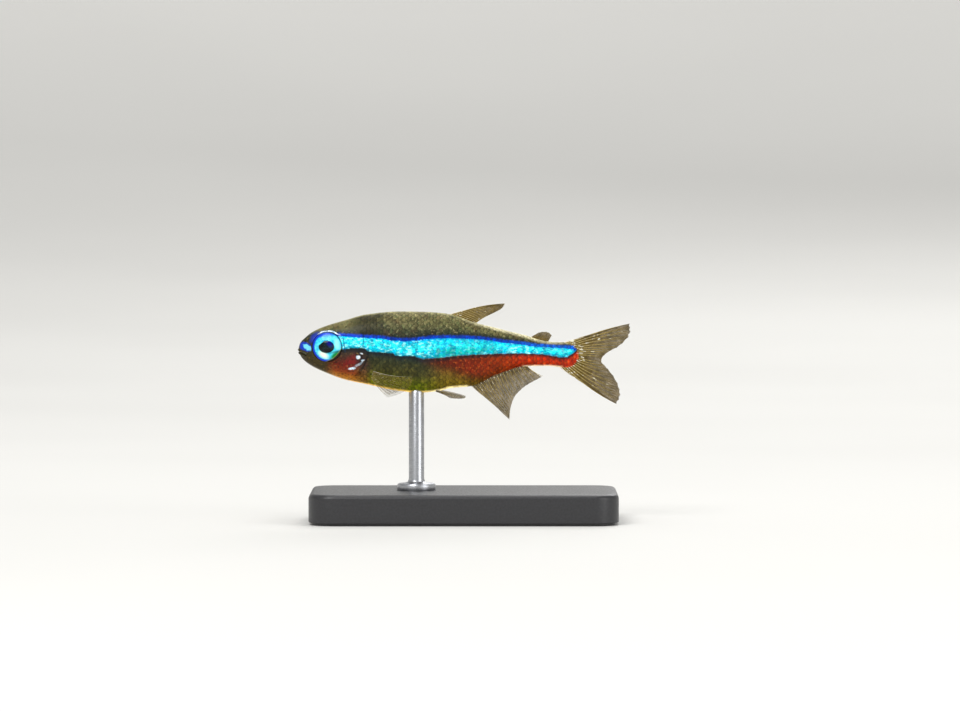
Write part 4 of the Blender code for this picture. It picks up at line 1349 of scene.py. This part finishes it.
def ray_strands(lines, plain):
    """(points in the plane, reach of each, whether it leads) for every ray and its branches."""
    rays, rows, _ = lines.shape
    shares = np.linspace(0, 1, rows)
    fork, second = int(rows * FIRST_FORK), int(rows * SECOND_FORK)
    past_fork, past_second = (
        np.clip((shares - shares[k]) / (1 - shares[k]), 0, 1)[:, None] for k in (fork, second)
    )
    strands = []
    for i, line in enumerate(lines):
        if i in plain:
            strands.append((line, shares, float(i in (0, rays - 1))))
            continue
        left = lines[i - 1] - line
        right = lines[i + 1] - line if i + 1 < rays else -left
        strands.append((line[: fork + 1], shares[: fork + 1], 0.0))
        for aside in (left, right):
            branch = line + aside * past_fork * 0.24
            strands.append((branch[fork : second + 1], shares[fork : second + 1], 0.0))
            for way in (-0.11, 0.11):
                twig = branch + aside * past_second * way
                strands.append((twig[second:], shares[second:], 0.0))
    return strands


def ray_tree(name):
    """Geometry nodes: a tapering tube along each strand, joined and given its material."""
    inputs = {"Strands": "Geometry", "Radius": "Float", "Sides": "Int", "Finish": "Material"}
    tree, nodes, given, result = new_tree(name, "GeometryNodeTree", inputs, {"Rays": "Geometry"})
    taper = nodes.value(
        "GeometryNodeInputNamedAttribute", {"Name": "taper"}, "Attribute", data_type="FLOAT"
    )
    curve = nodes.value("GeometryNodeMeshToCurve", {"Mesh": given["Strands"]})
    ring = nodes.value("GeometryNodeCurvePrimitiveCircle", {"Resolution": given["Sides"], "Radius": 1.0})
    tube = nodes.value("GeometryNodeCurveToMesh", {
        "Curve": curve, "Profile Curve": ring, "Fill Caps": True, "Scale": taper * given["Radius"]})
    real = nodes.value("GeometryNodeRealizeInstances", {"Geometry": tube})
    nodes.fill(result, {0: nodes.value("GeometryNodeSetMaterial", {
        "Geometry": real, "Material": given["Finish"]})})
    return tree


def fin_rays(name, strands, to_world, material, radius_share):
    points, edges, tapers, reaches, leads = [], [], [], [], []
    for line, shares, lead in strands:
        start = len(points)
        points.extend(to_world(line[:, 0], line[:, 1], 0.0, shares))
        tapers.extend(1.0 - 0.82 * shares**0.8)
        reaches.extend(shares)
        leads.extend([lead] * len(line))
        edges.extend((start + k, start + k + 1) for k in range(len(line) - 1))
    mesh = bpy.data.meshes.new(name)
    mesh.from_pydata([tuple(p) for p in points], edges, [])
    for label, values in (("taper", tapers), ("reach", reaches), ("lead", leads)):
        add_attribute(mesh, label, values)
    tree = shared(bpy.data.node_groups, "Fin rays", ray_tree)
    radius = sizes().ray_radius * radius_share * MM
    rays = grow(in_scene(name, mesh), tree, radius=radius, sides=6, finish=material)
    rays.data.shade_smooth()
    return rays


def finish_fin(name, nodes, lines, plain, to_world, radius_share=1.0, tints=(1.0, 1.0)):
    """The web and the rays of a fin, of which the plain ones don't branch."""
    web_finish = shared(bpy.data.materials, "fin_web", fin_web_material)
    ray_finish = shared(bpy.data.materials, "fin_rays", fin_ray_material)
    web = fin_web(name + "_web", lines, to_world, web_finish)
    rays = fin_rays(name + "_rays", ray_strands(lines, plain), to_world, ray_finish, radius_share)
    for piece, tint in zip((web, rays), tints):
        add_attribute(piece.data, "fin_tint", np.full(len(piece.data.vertices), tint))
        dress(piece, "fin", *nodes)


def make_fin(name, root, tip, rays, to_world, short=(), bow=0.0, rows=28, **looks):
    """A fin that stands for the node of its own name."""
    lines = fin_lines(root, tip, rays, short, bow, rows)
    finish_fin(name, [name], lines, range(len(short) + 1), to_world, **looks)


def upright_fin(wave=0.0, phase=0.0):
    """Places a fin of the middle plane, with a slight wave towards its margin."""

    def to_world(along, up, out, share):
        swing = wave * np.sin(along * 1.3 + up * 0.9 + phase) * share**2
        return fish_to_world(along, out + swing, up)

    return to_world


def fin_root(edge, sink, front, rear):
    """A root along the back or the belly, from front to rear, sunk into the body."""

    def point(t):
        along = front + (rear - front) * t
        return along, edge(along) - sink

    return point


def make_middle_fins():
    dorsal_tip = curve_through((16.15, 3.79), (15.95, 3.45), (15.35, 3.10), (14.75, 2.82))
    make_fin("dorsal_fin", fin_root(back, ROOT_SINK, 11.65, 13.75), dorsal_tip, 11, upright_fin(0.08),
             (0.55,), -0.045)
    anal_tip = curve_through(
        (16.50, -5.27), (16.55, -4.60), (16.85, -3.60), (17.70, -2.70), (19.00, -1.95)
    )
    make_fin("anal_fin", fin_root(belly, -ROOT_SINK, 13.45, 17.70), anal_tip, 18, upright_fin(0.12, 1.0),
             (0.35, 0.72), 0.03, tints=(0.84, 0.90))
    adipose_tip = curve_through((18.50, 1.36), (18.95, 1.58), (19.45, 1.58), (19.80, 1.30))
    make_fin("adipose_fin", fin_root(back, ROOT_SINK, 18.05, 19.45), adipose_tip, 6, upright_fin(),
             bow=-0.03, rows=12, radius_share=0.35)


def make_caudal_fin():
    """Both lobes on one fan of rays, so that the web runs on through the fork."""
    end = TAIL_END
    upper = curve_through((end - 0.05, 2.22), (end, 1.50), (25.10, 0.48), (24.20, 0.00), (23.74, -0.40))
    lower = curve_through((24.85, -4.05), (25.15, -3.35), (24.95, -2.45), (24.20, -1.35), (23.66, -0.78))

    def root(side):
        def point(t):
            angle = side * math.radians(84 + (4 - 84) * t)
            return (
                TAIL_ROOT_ALONG - 0.15 + (TAIL_ROOT_REACH - 0.15) * math.cos(angle),
                TAIL_ROOT_UP + (TAIL_ROOT_RISE - 0.24) * math.sin(angle),
            )

        return point

    edge_rays, rows = (0.33, 0.66), 36
    top = fin_lines(root(1), upper, 12, edge_rays, -0.025, rows)
    low = fin_lines(root(-1), lower, 11, edge_rays, 0.045, rows)
    lines = np.concatenate([top, low[::-1]])
    plain = [*range(len(edge_rays) + 1), *range(len(lines) - len(edge_rays) - 1, len(lines))]
    finish_fin("caudal_fin", ["caudal_fin_upper", "caudal_fin_lower"], lines, plain, upright_fin(0.14), 1.15)


def make_paired_fin(name, side, start, lie, spread, size, width, rays, bow, droop, tints):
    """A fin that lies back along its run and spreads across it from its root on the flank."""
    along, up, out = start
    run = Vector(lie).normalized()
    across = Vector(spread)
    across = (across - run * across.dot(run)).normalized()
    normal = run.cross(across)
    tips = ((size, 0.0), (0.98 * size, 0.35 * width), (0.80 * size, 0.75 * width), (0.52 * size, width))

    def to_world(a, b, t, share):
        t = t + droop * share**2
        x, y, z = (run[i] * a + across[i] * b + normal[i] * t for i in range(3))
        return fish_to_world(along + x, side * (out + y), up + z)

    make_fin(name, lambda t: (0.0, 0.30 * width * t), curve_through(*tips), rays, to_world, bow=bow,
             rows=20, radius_share=0.5, tints=tints)


def make_paired_fins():
    along, up = 5.85, -1.45
    breast = (along, up, float(half_breadth(along, up)) - 0.05)
    for name, side in SIDES:
        make_paired_fin("pectoral_fin_" + name, side, breast, (1.0, 0.56, -0.12), (-0.10, 0.25, -1.0),
                        3.75, 1.9, 11, -0.04, 0.12, (0.18, 0.42))
    for name, side in SIDES:
        make_paired_fin("pelvic_fin_" + name, side, (10.75, -2.95, 0.55), (1.0, 0.12, -0.20),
                        (0.10, -1.0, -0.62), 2.4, 0.75, 8, 0.03, 0.05, (0.34, 0.6))


# Stand and studio


def dress_stand_part(name, slot, points, faces, material):
    """A part of the stand, from points in millimetres, with crisp edges."""
    part = new_piece(name, np.array(points) * MM, faces, material)
    part.data.set_sharp_from_angle(angle=math.radians(CRISP_EDGE))
    face_outwards(part)
    dress(part, slot, "stand_" + slot)


def make_rod():
    """A turned steel rod with a foot flange, from the board up to the belly."""
    low, high = np.array(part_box("stand_rod")) / MM
    middle, foot = (low[0] + high[0]) / 2, (high[0] - low[0]) / 2
    base_top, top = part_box("stand_base")[1][2] / MM, high[2] + ROD_IN_BELLY
    profile = [(foot - inset, base_top + height) for inset, height in ROD_FLANGE]
    profile += [(ROD_RADIUS + extra, base_top + height) for extra, height in ROD_NECK]
    profile += [(ROD_RADIUS, top - 0.2), (ROD_RADIUS * 0.8, top)]
    bottom, rings = (middle, 0.0, profile[0][1]), swept(profile, circle(ROD_SEGMENTS, middle))
    material = shared(bpy.data.materials, "stand_rod_steel", rod_material)
    faces = closed_faces(len(profile), ROD_SEGMENTS)
    dress_stand_part("rod", "rod", [bottom, *rings, (middle, 0.0, top)], faces, material)


def make_base():
    """The board: round corners, a fine bevel on the top edge and a shadow gap at the foot."""
    low, high = np.array(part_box("stand_base")) / MM
    middle, half = (low + high) / 2, (high - low) / 2
    outline = []
    for quarter, (side_x, side_y) in enumerate(((1, 1), (-1, 1), (-1, -1), (1, -1))):
        for k in range(CORNER_STEPS + 1):
            turn = math.radians(90 * (quarter + k / CORNER_STEPS))
            nx, ny = math.cos(turn), math.sin(turn)
            x = middle[0] + side_x * (half[0] - BASE_CORNER) + BASE_CORNER * nx
            y = middle[1] + side_y * (half[1] - BASE_CORNER) + BASE_CORNER * ny
            outline.append((x, y, nx, ny))
    profile = [(-inset, low[2] + height) for inset, height in BASE_FOOT]
    for turn in np.radians(range(0, 91, 15)):
        profile.append((BASE_BEVEL * (math.cos(turn) - 1), high[2] + BASE_BEVEL * (math.sin(turn) - 1)))
    profile.append((-1.0, high[2]))
    points, around = swept(profile, outline), len(outline)
    caps = [tuple(reversed(range(around))), tuple(range(len(points) - around, len(points)))]
    material = shared(bpy.data.materials, "stand_base_satin", base_material)
    dress_stand_part("base_board", "base", points, caps + tube_faces(len(profile), around), material)


def make_floor():
    """A round pale floor that curves up all round."""
    profile = [(FLOOR_REACH * t, FLOOR_RISE * t**4) for t in np.linspace(0.04, 1.0, 25)]
    points = [(0.0, 0.0, 0.0), *swept(profile, circle(FLOOR_SEGMENTS))]
    faces = [(0, 1 + k, 1 + (k + 1) % FLOOR_SEGMENTS) for k in range(FLOOR_SEGMENTS)]
    faces += [(a, d, c, b) for a, b, c, d in tube_faces(len(profile), FLOOR_SEGMENTS, 1)]
    material = shared(bpy.data.materials, "studio_floor", floor_material)
    new_piece("floor", points, faces, material)


def make_lights():
    """Soft lights, and a white world that fills the shadows."""
    for name, where, size, power in LIGHTS:
        light = bpy.data.lights.new(name, "AREA")
        light.shape, light.size, light.energy = "DISK", size, power
        lamp = in_scene(name, light)
        lamp.location = where
        lamp.rotation_euler = (Vector(LIT_POINT) - Vector(where)).to_track_quat("-Z", "Y").to_euler()
    world = bpy.data.worlds.new("studio")
    world.use_nodes = True
    background = world.node_tree.nodes["Background"]
    background.inputs["Color"].default_value = (1.0, 1.0, 1.0, 1.0)
    background.inputs["Strength"].default_value = WORLD_STRENGTH
    bpy.context.scene.world = world
    bpy.context.scene.view_settings.view_transform = "Standard"


def make_camera():
    """Square on to the fish's left side, with the fish as large and as placed as in the photo."""
    target = Vector((
        SNOUT_X + (PHOTO_WIDTH / 2 - SNOUT_PIXEL) * PIXEL,
        0.0,
        AXIS_Z - (PHOTO_HEIGHT / 2 - AXIS_PIXEL) * PIXEL,
    ))
    camera = bpy.data.cameras.new("camera")
    camera.sensor_width = 36.0
    camera.lens = camera.sensor_width * CAMERA_DISTANCE / (PHOTO_WIDTH * PIXEL)
    camera.clip_start, camera.clip_end = 0.01, 10.0
    made = in_scene("camera", camera)
    away = Vector((0.0, -math.cos(CAMERA_ELEVATION), math.sin(CAMERA_ELEVATION)))
    made.location = (target + away * CAMERA_DISTANCE) * MM
    made.rotation_euler = (-away).to_track_quat("-Z", "Y").to_euler()
    bpy.context.scene.camera = made


# Operators and panel


class TETRA_OT_skin(bpy.types.Operator):
    """Make the fish's skin and the scales on it"""

    bl_idname = "tetra.skin"
    bl_label = "Skin and scales"

    def execute(self, context):
        skin = make_skin()
        dress(skin, "skin", "head", "trunk", "tail_stalk")
        for name, side in SIDES:
            scales = make_scales(skin, "scales_" + name, side)
            dress(scales, "belly", "trunk", "tail_stalk")
        return {"FINISHED"}


class TETRA_OT_eyes(bpy.types.Operator):
    """Make the fish's eyes"""

    bl_idname = "tetra.eyes"
    bl_label = "Eyes"

    def execute(self, context):
        for name, side in SIDES:
            dress(make_eye("eyeball_" + name, side), "eye", "eye_" + name)
        return {"FINISHED"}


class TETRA_OT_fins(bpy.types.Operator):
    """Make every fin: a thin web with branched rays"""

    bl_idname = "tetra.fins"
    bl_label = "Fins"

    def execute(self, context):
        make_middle_fins()
        make_caudal_fin()
        make_paired_fins()
        return {"FINISHED"}


class TETRA_OT_stand(bpy.types.Operator):
    """Make the stand: its board and its rod"""

    bl_idname = "tetra.stand"
    bl_label = "Stand"

    def execute(self, context):
        make_base()
        make_rod()
        return {"FINISHED"}


class TETRA_OT_studio(bpy.types.Operator):
    """Make the floor, the lights and the camera"""

    bl_idname = "tetra.studio"
    bl_label = "Studio"

    def execute(self, context):
        make_floor()
        make_lights()
        make_camera()
        return {"FINISHED"}


OPERATORS = (TETRA_OT_studio, TETRA_OT_skin, TETRA_OT_eyes, TETRA_OT_fins, TETRA_OT_stand)


class TETRA_PT_panel(bpy.types.Panel):
    bl_idname = "TETRA_PT_panel"
    bl_label = "Green neon tetra"
    bl_space_type = "VIEW_3D"
    bl_region_type = "UI"
    bl_category = "Tetra"

    def draw(self, context):
        for group in (context.scene.tetra_sizes, context.scene.tetra_colours):
            column = self.layout.column()
            for key in group.bl_rna.properties.keys():
                if key not in ("name", "rna_type"):
                    column.prop(group, key)
        for operator in OPERATORS:
            self.layout.operator(operator.bl_idname)


CLASSES = (TetraSizes, TetraColours, *OPERATORS, TETRA_PT_panel)


def register():
    for cls in CLASSES:
        bpy.utils.register_class(cls)
    bpy.types.Scene.tetra_sizes = bpy.props.PointerProperty(type=TetraSizes)
    bpy.types.Scene.tetra_colours = bpy.props.PointerProperty(type=TetraColours)


def unregister():
    del bpy.types.Scene.tetra_sizes
    del bpy.types.Scene.tetra_colours
    for cls in reversed(CLASSES):
        bpy.utils.unregister_class(cls)


def main():
    register()
    bpy.ops.tetra.studio()
    bpy.ops.tetra.skin()
    bpy.ops.tetra.eyes()
    bpy.ops.tetra.fins()
    bpy.ops.tetra.stand()


if __name__ == "__main__":
    main()
